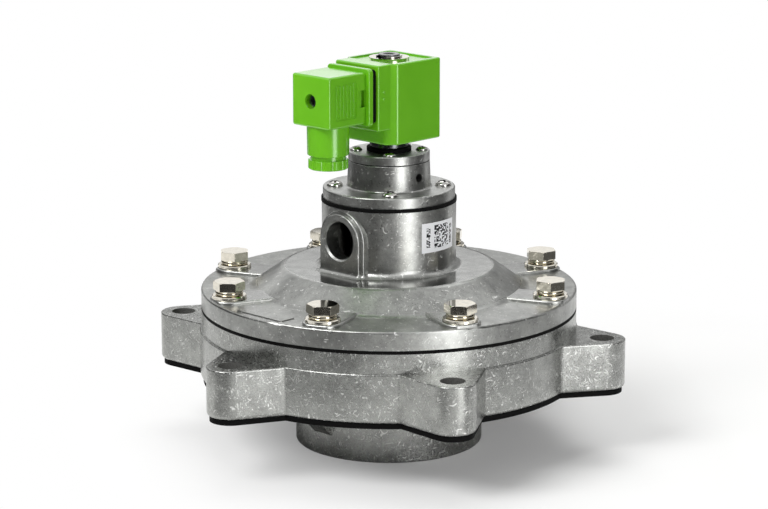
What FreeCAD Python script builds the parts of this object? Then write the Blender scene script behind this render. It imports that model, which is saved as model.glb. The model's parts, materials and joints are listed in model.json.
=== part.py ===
import FreeCAD, Part

import math
import os

# Tank-mounted diaphragm pulse valve with a built-in solenoid pilot.
# Millimetres, +Z up. The origin is the centre of the outlet tube's lower end, on the valve's axis.
# The exhaust port, the plug and one mounting lug point along -Y.

os.makedirs("parts", exist_ok=True)

# Clearances
running_clearance = 0.1         # radial, between pieces that slide or turn in each other
seat_gap = 0.2                  # between a closed valve disc and its seat
thread_clearance = 0.1          # radial, between a plain shank and its hole
fitting_gap = 0.2               # between pieces that are pushed together by hand

# Outlet tube and annular inlet of the manifold body
outlet_bore_diameter = 102.0
outlet_bore_length = 60.0       # from the tube's lower end up to the blow tube's stop
outlet_bore_shoulder = 3.0      # the stop stands this far into the bore
outlet_wall = 4.0
outlet_drop = 37.0              # outlet end to the tank's face
outlet_edge_round = 1.0
main_seat_drop = 3.8            # seat below the body's top face
inlet_width = 33.0              # from the outlet tube out to the body's wall
web_thickness = 8.0
gusset_thickness = 14.0
gusset_start = 11.5             # height at which a gusset leaves the outlet tube
plain_web_start = 29.0          # the other webs would meet the outlet tube's middle here
web_top_drop = 13.0             # webs end this far below the body's top face

# Manifold body and its mounting lugs
body_wall = 22.0
body_height = 39.8
lug_count = 6
lug_height = 28.4
lug_reach = 17.0                # lug hole outside the body's round wall
lug_hole_diameter = 14.0
lug_tip_radius = 13.5
lug_root_half_width = 25.0
lug_root_fillet = 2.5
skirt_step = 1.0                # the lug-high skirt stands this far proud of the body
skirt_top_round = 0.8
skirt_bottom_round = 2.5

# Flange gasket under the body
flange_gasket_thickness = 3.0
flange_gasket_inset = 1.5
gasket_hole_clearance = 0.5

# Main diaphragm and the disc assembly that it carries
main_diaphragm_thickness = 2.0
convolution_inner_margin = 6.0  # flat rubber past the rubber disc
convolution_outer_margin = 4.0  # flat rubber inside the clamped edge
convolution_height = 4.0
bleed_hole_radius = 1.5
bleed_hole_margin = 2.0         # between the bleed hole and the rubber disc
upper_plate_inset = 1.0         # inside the outlet tube's outer radius
upper_plate_thickness = 3.0
lower_plate_inset = 7.0         # inside the outlet bore
lower_plate_thickness = 3.0
seat_disc_overlap = 5.0         # the rubber disc reaches this far past the seat
plate_bolt_diameter = 8.0
plate_bolt_head_width = 13.0
plate_bolt_head_height = 5.3
plate_nut_height = 6.5
plate_bolt_end = 2.5

# Main spring
main_spring_wire = 2.2
main_spring_radius = 15.5
main_spring_turns = 6.0

# Cover casting
cover_rim_height = 10.8
cover_rim_round = 1.2
cover_inner_round = 2.0
clamp_land_width = 22.0
rim_flat_width = 30.0           # from the rim's edge in to the dome's foot
dome_foot_fillet = 7.0
dome_slope_width = 18.0
dome_shoulder_round = 6.0
dome_rise = 12.7
dome_wall = 6.0
rim_wall = 5.6

# Cover bolts, eight of M10 with hexagon heads
cover_bolt_count = 8
cover_bolt_inset = 10.4         # bolt circle inside the rim's edge
cover_bolt_diameter = 10.0
cover_bolt_length = 35.0
cover_bolt_head_width = 16.0
cover_bolt_head_height = 5.4
flat_washer_diameter = 20.0
flat_washer_thickness = 2.0
spring_washer_diameter = 18.0
spring_washer_thickness = 2.5
spring_washer_slot = 1.5
tapping_depth_spare = 3.0
bolt_pad_height = 1.9
bolt_pad_half_width = 11.5
bolt_pad_edge_margin = 0.6
bolt_pad_corner = 3.0           # where the tongue's round end meets the trimmed edge
bolt_pad_round = 1.2
blank_panel_length = 36.0       # flat cast panel between two bolts, left blank
blank_panel_width = 11.0
blank_panel_height = 0.5
blank_panel_round = 1.0

# Pilot turret, cast with the cover
turret_radius = 39.2
turret_wall = 6.2
turret_height = 38.4
turret_foot_fillet = 4.0
turret_floor = 5.0              # exhaust chamber's floor above the dome's top
riser_radius = 23.0
riser_wall = 3.0
riser_shoulder_height = 19.0    # spring stop above the dome's top
pilot_seat_radius = 15.0
pilot_passage_radius = 12.0
pilot_seat_drop = 1.8           # pilot seat below the turret's top face
seat_edge_round = 0.6
screw_boss_radius = 6.0
pilot_screw_count = 4

# Exhaust port on the turret
port_height = 20.0              # port axis above the dome's top
port_bore_diameter = 22.0
port_mouth_chamfer = 1.0
port_face_stand = 2.3           # port face outside the turret's wall
port_collar_radius = 15.6
port_base_radius = 17.5
port_base_step = 2.2            # base face behind the port face
port_edge_round = 0.9
port_foot_fillet = 3.0

# Pilot diaphragm and its disc
pilot_diaphragm_thickness = 2.0
pilot_diaphragm_overhang = 0.3
pilot_disc_radius = 16.5
pilot_plate_radius = 13.0
pilot_plate_thickness = 1.6
pilot_rivet_radius = 3.0
pilot_rivet_head_radius = 5.4
pilot_rivet_head_height = 1.2
pilot_bleed_radius = 0.6
pilot_spring_wire = 1.0
pilot_spring_radius = 6.0
pilot_spring_turns = 3.5

# Pilot cover: a flanged plate with a tower, one casting
pilot_cover_inset = 0.7         # inside the turret's wall
pilot_cover_plate_height = 6.3
tower_radius = 24.4
tower_top_radius = 23.7
tower_height = 15.6
control_chamber_radius = 20.0
control_chamber_height = 8.3
partition_thickness = 2.6
plate_edge_round = 0.8
tower_foot_fillet = 1.2
tower_top_round = 0.5
chamber_round = 1.2
nozzle_chamfer = 0.8
vent_chamber_radius = 11.5
nozzle_radius = 3.0
nozzle_bore_radius = 1.0
nozzle_height = 4.6
vent_hole_diameter = 5.0
vent_hole_height = 7.6          # vent axis above the plate's top face
pilot_screw_inset = 7.7         # screw circle inside the turret's wall
pilot_screw_diameter = 5.0
pilot_screw_length = 18.0
pilot_screw_head_diameter = 9.4
pilot_screw_head_height = 3.4
screw_seat_depth = 0.7

# Tower cap
cap_gasket_thickness = 0.4
cap_screw_count = 4
cap_height = 5.05
cap_edge_round = 0.6
cap_screw_circle_radius = 19.0
cap_screw_diameter = 4.0
cap_screw_length = 14.0
cap_screw_head_diameter = 7.0
cap_screw_head_height = 2.6

# Armature tube, its core and its plunger
tube_radius = 7.0
tube_wall = 0.5
tube_flange_radius = 10.5
tube_flange_thickness = 1.2
tube_o_ring_wire = 1.8
plunger_length = 36.0
plunger_edge_round = 0.5
plunger_seal_radius = 3.6
plunger_seal_thickness = 2.0
plunger_travel = 2.5
plunger_spring_bore_radius = 3.4
plunger_spring_pocket_depth = 14.0
plunger_spring_wire = 0.7
plunger_spring_radius = 2.6
plunger_spring_turns = 6.0
core_end_height = 3.2           # core end above the washer's seat
core_neck_radius = 5.0
stem_seal_radius = 13.0
stem_seal_height = 2.35
collar_radius = 11.2
collar_height = 4.6
stem_edge_round = 0.4

# Coil moulding
coil_half_width = 20.3
coil_front = 18.8               # front face from the valve's axis, along -Y
coil_back = 21.9
coil_end_wall = 3.5             # plastic over each end of the yoke
coil_front_chamfer = 5.4
coil_edge_round = 1.6
coil_top_rim = 3.0
coil_top_recess = 0.8
coil_boss_half_width = 17.2
coil_boss_front = 26.6
coil_boss_drop = 9.0            # boss starts this far above the coil's underside
coil_bore_clearance = 0.2

# Winding and iron inside the coil moulding
bobbin_wall = 1.2
bobbin_flange_radius = 15.5
bobbin_flange_thickness = 1.5
bobbin_height = 36.0
winding_radius = 14.8
yoke_thickness = 2.0
yoke_half_width = 14.0

# Fittings on top of the coil
coil_washer_radius = 11.6
coil_washer_thickness = 1.5
clip_radius = 7.6
clip_thickness = 0.9
clip_gap_half_width = 4.0

# Plug: gasket, contact carrier and hood
plug_gasket_half_width = 15.4
plug_gasket_thickness = 3.3
plug_gasket_round = 2.0
plug_axis_drop = 17.75          # plug axis below the coil's top face
plug_base_half_width = 16.8
plug_base_half_height = 16.5
plug_base_thickness = 3.7
plug_half_width = 14.8
plug_half_height = 14.85
plug_depth = 29.8
plug_wall = 2.2
plug_edge_round = 1.6
hood_joint_step = 0.9           # groove between the hood and the base plate
side_notch_depth = 1.3
side_notch_length = 5.6
side_notch_height = 9.7
side_slot_width = 1.2
contact_block_side_gap = 1.6    # from the block's side to the hood's wall
contact_block_end_gap = 2.05    # from its top or underside to the hood's wall
contact_block_depth = 16.0
terminal_width = 6.3
terminal_thickness = 0.8
terminal_length = 12.0
terminal_pitch = 15.0
earth_terminal_drop = 7.0
terminal_root = 5.0             # length of a terminal inside the coil moulding
plug_screw_diameter = 3.0
plug_screw_head_diameter = 6.0
plug_screw_head_height = 2.2
plug_screw_recess_diameter = 8.5
plug_screw_recess_depth = 4.5
plug_screw_thread_depth = 5.0
grip_rib_count = 6
grip_rib_pitch = 2.7
grip_rib_width = 1.2
grip_panel_depth = 0.7
grip_panel_height = 19.0
grip_panel_margin = 5.0         # from the hood's end face

# Cable gland under the plug
gland_offset = 13.9             # gland axis from the hood's end face
gland_radius = 12.1
gland_length = 17.1
gland_neck_radius = 10.0
gland_neck_length = 6.3
gland_bore_radius = 8.2
gland_throat_radius = 6.0
gland_seal_length = 9.0
gland_seal_bore_radius = 4.25
gland_washer_thickness = 1.0
gland_washer_bore_radius = 5.5
gland_nut_radius = 11.4
gland_nut_height = 5.5
gland_nut_floor = 1.5
gland_nut_mouth_radius = 6.5
gland_nut_lobes = 12
gland_nut_flute_radius = 1.7
gland_nut_round = 0.8

# Label on the turret
label_length = 27.0
label_height = 17.3
label_thickness = 0.2
label_base_height = 13.7        # label's lower edge above the dome's top
label_centre_angle = 92.5

# Heights worked out from the sizes above
tank_face_z = outlet_drop
body_base_z = tank_face_z + flange_gasket_thickness
lug_top_z = body_base_z + lug_height
body_top_z = body_base_z + body_height
main_seat_z = body_top_z - main_seat_drop
cover_base_z = body_top_z + main_diaphragm_thickness
rim_top_z = cover_base_z + cover_rim_height
pad_top_z = rim_top_z + bolt_pad_height
dome_top_z = rim_top_z + dome_rise
dome_ceiling_z = dome_top_z - dome_wall
exhaust_floor_z = dome_top_z + turret_floor
spring_stop_z = dome_top_z + riser_shoulder_height
port_z = dome_top_z + port_height
turret_top_z = dome_top_z + turret_height
pilot_seat_z = turret_top_z - pilot_seat_drop
pilot_cover_z = turret_top_z + pilot_diaphragm_thickness
pilot_plate_top_z = pilot_cover_z + pilot_cover_plate_height
tower_top_z = pilot_plate_top_z + tower_height
control_ceiling_z = pilot_cover_z + control_chamber_height
vent_floor_z = control_ceiling_z + partition_thickness
nozzle_top_z = vent_floor_z + nozzle_height
cap_z = tower_top_z + cap_gasket_thickness
cap_top_z = cap_z + cap_height
collar_z = cap_top_z + stem_seal_height
coil_z = collar_z + collar_height
coil_height = bobbin_height + 2.0 * (yoke_thickness + coil_end_wall)
coil_top_z = coil_z + coil_height
washer_seat_z = coil_top_z - coil_top_recess
plug_z = coil_top_z - plug_axis_drop
plug_base_y = -coil_boss_front - plug_gasket_thickness
hood_y = plug_base_y - plug_base_thickness
hood_end_y = hood_y - plug_depth
gland_y = hood_end_y + gland_offset
hood_floor_z = plug_z - plug_half_height
gland_end_z = hood_floor_z - gland_length
gland_neck_z = gland_end_z - gland_neck_length
gland_nut_z = gland_neck_z - fitting_gap - gland_nut_floor
cover_bolt_seat_z = pad_top_z + flat_washer_thickness + spring_washer_thickness
pilot_screw_seat_z = pilot_plate_top_z - screw_seat_depth
cap_screw_seat_z = cap_top_z - screw_seat_depth
vent_z = pilot_plate_top_z + vent_hole_height
bobbin_z = coil_z + (coil_height - bobbin_height) / 2.0
plunger_z = nozzle_top_z + seat_gap
plunger_top_z = plunger_z + plunger_length
core_z = plunger_top_z + plunger_travel + seat_gap
screw_tip_y = -coil_boss_front + plug_screw_thread_depth
contact_block_half_height = plug_half_height - plug_wall - contact_block_end_gap

# Radii worked out from the sizes above
outlet_bore_radius = outlet_bore_diameter / 2.0
outlet_radius = outlet_bore_radius + outlet_wall
chamber_radius = outlet_radius + inlet_width
body_radius = chamber_radius + body_wall
skirt_radius = body_radius + skirt_step
lug_circle_radius = body_radius + lug_reach
cover_bolt_circle_radius = body_radius - cover_bolt_inset
dome_foot_radius = body_radius - rim_flat_width
dome_shoulder_radius = dome_foot_radius - dome_slope_width
seat_disc_radius = outlet_radius + seat_disc_overlap
convolution_inner_radius = seat_disc_radius + convolution_inner_margin
convolution_outer_radius = body_radius - clamp_land_width - convolution_outer_margin
upper_plate_radius = outlet_radius - upper_plate_inset
lower_plate_radius = outlet_bore_radius - lower_plate_inset
exhaust_chamber_radius = turret_radius - turret_wall
port_face_offset = turret_radius + port_face_stand
pilot_cover_radius = turret_radius - pilot_cover_inset
pilot_screw_circle_radius = turret_radius - pilot_screw_inset
cover_hole_radius = cover_bolt_diameter / 2.0 + thread_clearance
tube_bore_radius = tube_radius - tube_wall
plunger_radius = tube_bore_radius - running_clearance
coil_bore_radius = tube_radius + coil_bore_clearance
cap_screw_hole_radius = cap_screw_diameter / 2.0 + thread_clearance
pilot_screw_hole_radius = pilot_screw_diameter / 2.0 + thread_clearance
plate_bolt_hole_radius = plate_bolt_diameter / 2.0 + thread_clearance
plug_screw_hole_radius = plug_screw_diameter / 2.0 + thread_clearance
contact_block_half_width = plug_half_width - plug_wall - contact_block_side_gap

# Angles of the first bolt or screw, counted from -Y towards +X
cover_bolt_start = 180.0 / cover_bolt_count
pilot_screw_start = 180.0 / pilot_screw_count
cap_screw_start = 180.0 / cap_screw_count

LOOSE = 1.0                     # cutting tools reach this far past what they cut


def polar(radius, degrees):
    """Point at a radius, its angle counted from -Y towards +X."""
    angle = math.radians(degrees)
    return radius * math.sin(angle), -radius * math.cos(angle)


def cylinder(radius, low, high, x=0.0, y=0.0):
    return Part.makeCylinder(radius, high - low, FreeCAD.Vector(x, y, low))


def ring(outer, inner, low, high, x=0.0, y=0.0):
    bore = cylinder(inner, low - LOOSE, high + LOOSE, x, y)
    return cylinder(outer, low, high, x, y).cut(bore)


def bar(x_low, x_high, y_low, y_high, z_low, z_high):
    corner = FreeCAD.Vector(x_low, y_low, z_low)
    return Part.makeBox(x_high - x_low, y_high - y_low, z_high - z_low, corner)


def rod_along_y(radius, y_low, y_high, x, z):
    return Part.makeCylinder(radius, y_high - y_low, FreeCAD.Vector(x, y_low, z), FreeCAD.Vector(0, 1, 0))


def turned(shape, degrees):
    """Copy of a shape, turned about the valve's axis."""
    copy = shape.copy()
    copy.rotate(FreeCAD.Vector(0, 0, 0), FreeCAD.Vector(0, 0, 1), degrees)
    return copy


def moved(shape, x, y, z=0.0):
    copy = shape.copy()
    copy.translate(FreeCAD.Vector(x, y, z))
    return copy


def joined(shapes):
    first = shapes[0]
    return first.multiFuse(shapes[1:]).removeSplitter()


def corner_arc(before, corner, after):
    """Start, middle and end of the arc that rounds a corner given as (u, v, radius)."""
    here = FreeCAD.Vector(corner[0], corner[1], 0)
    radius = corner[2] if len(corner) > 2 else 0.0
    if radius <= 0.0:
        return here, None, here
    back = FreeCAD.Vector(before[0], before[1], 0).sub(here).normalize()
    ahead = FreeCAD.Vector(after[0], after[1], 0).sub(here).normalize()
    half_turn = back.getAngle(ahead) / 2.0
    trim = radius / math.tan(half_turn)
    bisector = back.add(ahead).normalize()
    reach = radius / math.sin(half_turn) - radius
    start = here.add(FreeCAD.Vector(back).multiply(trim))
    end = here.add(FreeCAD.Vector(ahead).multiply(trim))
    return start, here.add(FreeCAD.Vector(bisector).multiply(reach)), end


def rounded_face(corners, place):
    """Flat face inside an outline of corners (u, v, radius), put in space by place."""
    count = len(corners)
    arcs = []
    for index in range(count):
        arcs.append(corner_arc(corners[index - 1], corners[index], corners[(index + 1) % count]))
    edges = []
    for index, (start, middle, end) in enumerate(arcs):
        if middle is not None:
            edges.append(Part.Arc(place(start), place(middle), place(end)).toShape())
        following = arcs[(index + 1) % count][0]
        if end.distanceToPoint(following) > 1e-6:
            edges.append(Part.makeLine(place(end), place(following)))
    return Part.Face(Part.Wire(edges))


def upright(point):
    """A point (radius, height) in the plane that is turned into round pieces."""
    return FreeCAD.Vector(point.x, 0, point.y)


def flat(point):
    return FreeCAD.Vector(point.x, point.y, 0)


def facing_front(point):
    """A point (x, z) in the plane y = 0."""
    return FreeCAD.Vector(point.x, 0, point.y)


def revolved(corners):
    face = rounded_face(corners, upright)
    return face.revolve(FreeCAD.Vector(0, 0, 0), FreeCAD.Vector(0, 0, 1), 360)


def plate(corners, low, high):
    """Straight-sided piece over an outline in plan."""
    face = rounded_face(corners, flat)
    face.translate(FreeCAD.Vector(0, 0, low))
    return face.extrude(FreeCAD.Vector(0, 0, high - low))


def block_along_y(corners, y_low, y_high):
    """Straight-sided piece over an outline seen from the front."""
    face = rounded_face(corners, facing_front)
    face.translate(FreeCAD.Vector(0, y_low, 0))
    return face.extrude(FreeCAD.Vector(0, y_high - y_low, 0))


def rectangle(u_low, u_high, v_low, v_high, radius=0.0):
    return [
        (u_low, v_low, radius),
        (u_high, v_low, radius),
        (u_high, v_high, radius),
        (u_low, v_high, radius),
    ]


def edges_at_height(shape, height):
    found = []
    for edge in shape.Edges:
        box = edge.BoundBox
        if abs(box.ZMin - height) < 1e-4 and abs(box.ZMax - height) < 1e-4:
            found.append(edge)
    return found


def hexagon_head(width, height, low):
    """Hexagon with its upper corners turned off at 30 degrees."""
    across_corners = width / math.cos(math.radians(30))
    corners = [polar(across_corners / 2.0, 60.0 * index) for index in range(6)]
    prism = plate(corners, low, low + height)
    drop = (across_corners / 2.0 - 0.47 * width) * math.tan(math.radians(30))
    cap = revolved([
        (0, low - LOOSE),
        (across_corners, low - LOOSE),
        (across_corners, low + height - drop - (across_corners / 2.0) * math.tan(math.radians(30))),
        (0.47 * width, low + height),
        (0, low + height),
    ])
    return prism.common(cap)


def pan_head_screw(diameter, length, head_diameter, head_height, low):
    """Pan head with a cross recess, its bearing face at low."""
    head_radius = head_diameter / 2.0
    head = revolved([
        (0, low),
        (head_radius, low),
        (head_radius, low + head_height, 0.55 * head_height),
        (0, low + head_height),
    ])
    shank = cylinder(diameter / 2.0, low - length, low)
    screw = head.fuse(shank).removeSplitter()
    arm = 0.32 * head_diameter
    half_slot = 0.07 * head_diameter
    depth = low + 0.45 * head_height
    slot = bar(-arm, arm, -half_slot, half_slot, depth, low + head_height + LOOSE)
    return screw.cut(slot.fuse(turned(slot, 90)))


def coil_spring(mean_radius, wire, turns, low, high):
    """Round-wire compression spring that stands between two levels."""
    half_wire = wire / 2.0
    height = high - low - wire - 2.0 * fitting_gap
    helix = Part.makeHelix(height / turns, height, mean_radius)
    circle = Part.makeCircle(half_wire, FreeCAD.Vector(mean_radius, 0, 0), FreeCAD.Vector(0, 1, 0))
    spring = Part.Wire(helix.Edges).makePipeShell([Part.Wire([circle])], True, True)
    return moved(spring, 0, 0, low + half_wire + fitting_gap)


def spread(shape, count, radius, first_angle):
    """One copy of a shape for each place on a bolt circle."""
    copies = []
    for index in range(count):
        angle = first_angle + 360.0 * index / count
        x, y = polar(radius, angle)
        copies.append(moved(turned(shape, angle), x, y))
    return copies


def holes(radius, low, high, count, circle_radius, first_angle):
    return Part.makeCompound(spread(cylinder(radius, low, high), count, circle_radius, first_angle))


def tangent_point(root_x, root_y, centre_x, radius):
    """Where a line from the root touches a lug's round tip."""
    distance = math.hypot(root_x - centre_x, root_y)
    to_root = math.atan2(root_y, root_x - centre_x)
    angle = to_root - math.acos(radius / distance)
    return centre_x + radius * math.cos(angle), radius * math.sin(angle)


def lug(inset, low, high):
    """One lug, pointing along -Y, with its sides running tangent into its round tip."""
    tip = lug_tip_radius - inset
    root_y = lug_root_half_width - inset
    root_x = math.sqrt(skirt_radius ** 2 - lug_root_half_width ** 2) - inset
    touch_x, touch_y = tangent_point(root_x, root_y, lug_circle_radius, tip)
    inner_x = root_x - (skirt_radius - chamber_radius) / 2.0

    def place(along, across):
        return FreeCAD.Vector(across, -along, low)

    edges = [
        Part.makeLine(place(inner_x, -root_y), place(root_x, -root_y)),
        Part.makeLine(place(root_x, -root_y), place(touch_x, -touch_y)),
        Part.Arc(
            place(touch_x, -touch_y),
            place(lug_circle_radius + tip, 0),
            place(touch_x, touch_y),
        ).toShape(),
        Part.makeLine(place(touch_x, touch_y), place(root_x, root_y)),
        Part.makeLine(place(root_x, root_y), place(inner_x, root_y)),
        Part.makeLine(place(inner_x, root_y), place(inner_x, -root_y)),
    ]
    return Part.Face(Part.Wire(edges)).extrude(FreeCAD.Vector(0, 0, high - low))


def lugged_plate(inset, low, high):
    """Round plate with all its lugs, before anything is cut from it."""
    pieces = [cylinder(skirt_radius - inset, low, high)]
    for index in range(lug_count):
        pieces.append(turned(lug(inset, low, high), 360.0 * index / lug_count))
    return joined(pieces)


def root_edges(shape, height):
    """Upright edges in the corners between the lugs and the round skirt."""
    found = []
    for edge in shape.Edges:
        box = edge.BoundBox
        if abs(box.ZLength - height) > 1e-4 or box.XLength > 1e-4 or box.YLength > 1e-4:
            continue
        if abs(math.hypot(box.XMin, box.YMin) - skirt_radius) < 0.5:
            found.append(edge)
    return found


def web(thickness, start, top):
    """Radial web from the outlet tube out to the body's wall, along -Y."""
    inner = outlet_bore_radius + outlet_wall / 2.0
    outer = chamber_radius + LOOSE
    rise = outer - inner
    points = [
        FreeCAD.Vector(-thickness / 2.0, -inner, start),
        FreeCAD.Vector(-thickness / 2.0, -outer, start + rise),
        FreeCAD.Vector(-thickness / 2.0, -outer, top),
        FreeCAD.Vector(-thickness / 2.0, -inner, top),
    ]
    points.append(points[0])
    return Part.Face(Part.makePolygon(points)).extrude(FreeCAD.Vector(thickness, 0, 0))


def manifold_body():
    skirt = lugged_plate(0.0, body_base_z, lug_top_z)
    skirt = skirt.makeFillet(lug_root_fillet, root_edges(skirt, lug_height))
    skirt = skirt.makeFillet(skirt_top_round, edges_at_height(skirt, lug_top_z))
    skirt = skirt.makeFillet(skirt_bottom_round, edges_at_height(skirt, body_base_z))
    wall = cylinder(body_radius, body_base_z + skirt_bottom_round, body_top_z)
    chamber = cylinder(chamber_radius, body_base_z - LOOSE, body_top_z + LOOSE)
    shell = skirt.fuse(wall).removeSplitter().cut(chamber)
    throat_radius = outlet_bore_radius - outlet_bore_shoulder
    tube = revolved([
        (outlet_bore_radius, 0, outlet_edge_round),
        (outlet_radius, 0, outlet_edge_round),
        (outlet_radius, main_seat_z, outlet_edge_round),
        (throat_radius, main_seat_z, outlet_edge_round),
        (throat_radius, outlet_bore_length),
        (outlet_bore_radius, outlet_bore_length),
    ])
    web_top = body_top_z - web_top_drop
    ribs = []
    for index in range(lug_count):
        is_gusset = index % 3 == 0
        thickness = gusset_thickness if is_gusset else web_thickness
        start = gusset_start if is_gusset else plain_web_start
        ribs.append(turned(web(thickness, start, web_top), 360.0 * index / lug_count))
    body = joined([shell, tube] + ribs)
    body = body.cut(holes(
        lug_hole_diameter / 2.0, body_base_z - LOOSE, lug_top_z + LOOSE, lug_count, lug_circle_radius, 0.0,
    ))
    bolt_end_z = cover_bolt_seat_z - cover_bolt_length
    return body.cut(holes(
        cover_hole_radius, bolt_end_z - tapping_depth_spare, body_top_z + LOOSE,
        cover_bolt_count, cover_bolt_circle_radius, cover_bolt_start,
    ))


def flange_gasket():
    sheet = lugged_plate(flange_gasket_inset, tank_face_z, body_base_z)
    sheet = sheet.cut(cylinder(chamber_radius, tank_face_z - LOOSE, body_base_z + LOOSE))
    return sheet.cut(holes(
        lug_hole_diameter / 2.0 + gasket_hole_clearance, tank_face_z - LOOSE, body_base_z + LOOSE,
        lug_count, lug_circle_radius, 0.0,
    ))


def main_diaphragm():
    """Flat rubber sheet with one rolled convolution between the disc and the clamped edge."""
    low = body_top_z
    high = cover_base_z
    middle = (convolution_inner_radius + convolution_outer_radius) / 2.0
    half_width = (convolution_outer_radius - convolution_inner_radius) / 2.0
    bend = 0.45 * convolution_height
    bore = plate_bolt_hole_radius
    sheet = revolved([
        (bore, low),
        (convolution_inner_radius, low, bend),
        (middle - 0.35 * half_width, low + convolution_height, bend),
        (middle + 0.35 * half_width, low + convolution_height, bend),
        (convolution_outer_radius, low, bend),
        (body_radius, low),
        (body_radius, high),
        (convolution_outer_radius, high, bend),
        (middle + 0.35 * half_width, high + convolution_height, bend),
        (middle - 0.35 * half_width, high + convolution_height, bend),
        (convolution_inner_radius, high, bend),
        (bore, high),
    ])
    bleed_x = seat_disc_radius + bleed_hole_margin + bleed_hole_radius
    sheet = sheet.cut(cylinder(bleed_hole_radius, low - LOOSE, high + LOOSE, bleed_x))
    return sheet.cut(holes(
        cover_hole_radius, low - LOOSE, high + LOOSE,
        cover_bolt_count, cover_bolt_circle_radius, cover_bolt_start,
    ))


def upper_plate():
    low = cover_base_z
    bore = plate_bolt_hole_radius
    return revolved([
        (bore, low),
        (upper_plate_radius, low),
        (upper_plate_radius, low + upper_plate_thickness, 0.4 * upper_plate_thickness),
        (bore, low + upper_plate_thickness),
    ])


def lower_plate():
    high = body_top_z
    bore = plate_bolt_hole_radius
    return revolved([
        (bore, high - lower_plate_thickness),
        (lower_plate_radius, high - lower_plate_thickness, 0.4 * lower_plate_thickness),
        (lower_plate_radius, high),
        (bore, high),
    ])


def seat_disc():
    """Rubber ring on the diaphragm's underside, which closes on the outlet tube's rim."""
    return ring(
        seat_disc_radius, lower_plate_radius + fitting_gap, main_seat_z + seat_gap, body_top_z,
    )


def plate_bolt():
    underside = body_top_z - lower_plate_thickness
    end = cover_base_z + upper_plate_thickness + plate_nut_height + plate_bolt_end
    head = hexagon_head(plate_bolt_head_width, plate_bolt_head_height, 0.0)
    head.rotate(FreeCAD.Vector(0, 0, 0), FreeCAD.Vector(1, 0, 0), 180)
    head.translate(FreeCAD.Vector(0, 0, underside))
    return head.fuse(cylinder(plate_bolt_diameter / 2.0, underside, end)).removeSplitter()


def plate_nut():
    low = cover_base_z + upper_plate_thickness
    bore = plate_bolt_hole_radius
    nut = hexagon_head(plate_bolt_head_width, plate_nut_height, low)
    return nut.cut(cylinder(bore, low - LOOSE, low + plate_nut_height + LOOSE))


def main_spring():
    low = cover_base_z + upper_plate_thickness
    return coil_spring(main_spring_radius, main_spring_wire, main_spring_turns, low, spring_stop_z)


def cover_shell():
    """Rim, dome, turret wall and riser, turned about the valve's axis."""
    land_inner = body_radius - clamp_land_width
    rim_ceiling_z = rim_top_z - rim_wall
    neck_rise = riser_radius - pilot_seat_radius
    slope = (dome_foot_radius - dome_shoulder_radius) / dome_rise
    inner_shoulder = dome_shoulder_radius - rim_wall
    inner_foot = inner_shoulder + slope * (dome_ceiling_z - rim_ceiling_z)
    return revolved([
        (body_radius, cover_base_z),
        (body_radius, rim_top_z, cover_rim_round),
        (dome_foot_radius, rim_top_z, dome_foot_fillet),
        (dome_shoulder_radius, dome_top_z, dome_shoulder_round),
        (turret_radius, dome_top_z, turret_foot_fillet),
        (turret_radius, turret_top_z),
        (exhaust_chamber_radius, turret_top_z),
        (exhaust_chamber_radius, exhaust_floor_z, cover_inner_round),
        (riser_radius, exhaust_floor_z, cover_inner_round),
        (riser_radius, spring_stop_z + seat_edge_round, seat_edge_round),
        (pilot_seat_radius, spring_stop_z + seat_edge_round + neck_rise, seat_edge_round),
        (pilot_seat_radius, pilot_seat_z, seat_edge_round),
        (pilot_passage_radius, pilot_seat_z, seat_edge_round),
        (pilot_passage_radius, spring_stop_z),
        (riser_radius - riser_wall, spring_stop_z),
        (riser_radius - riser_wall, dome_ceiling_z),
        (inner_shoulder, dome_ceiling_z, cover_inner_round),
        (inner_foot, rim_ceiling_z),
        (land_inner, rim_ceiling_z, cover_inner_round),
        (land_inner, cover_base_z),
    ])


def bolt_pad():
    """Flat tongue that carries one bolt, running inwards until it meets the dome."""
    low = rim_top_z - LOOSE
    outer = cylinder(bolt_pad_half_width, low, pad_top_z, 0.0, -cover_bolt_circle_radius)
    inner = bar(
        -bolt_pad_half_width, bolt_pad_half_width,
        -cover_bolt_circle_radius, -dome_shoulder_radius, low, pad_top_z,
    )
    trim = cylinder(body_radius - bolt_pad_edge_margin, low - LOOSE, pad_top_z + LOOSE)
    pad = outer.fuse(inner).removeSplitter().common(trim)
    pad = pad.makeFillet(bolt_pad_corner, trimmed_corners(pad))
    return pad.makeFillet(bolt_pad_round, edges_at_height(pad, pad_top_z))


def trimmed_corners(pad):
    """The two upright edges at the tongue's outer end."""
    found = []
    for edge in pad.Edges:
        box = edge.BoundBox
        if box.ZLength > bolt_pad_height / 2.0 and box.YMax < -cover_bolt_circle_radius:
            found.append(edge)
    return found


def arch(radius, y_low, y_high):
    """Port boss outline: straight sides up to the port's axis, then a half circle."""
    legs = bar(-radius, radius, y_low, y_high, dome_top_z - LOOSE, port_z)
    return legs.fuse(rod_along_y(radius, y_low, y_high, 0.0, port_z)).removeSplitter()


def port_boss():
    base_face = -port_face_offset + port_base_step
    collar = footed(arch(port_collar_radius, -port_face_offset, -exhaust_chamber_radius), -port_face_offset)
    base = footed(arch(port_base_radius, base_face, -exhaust_chamber_radius), base_face)
    return collar.fuse(base)


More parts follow.
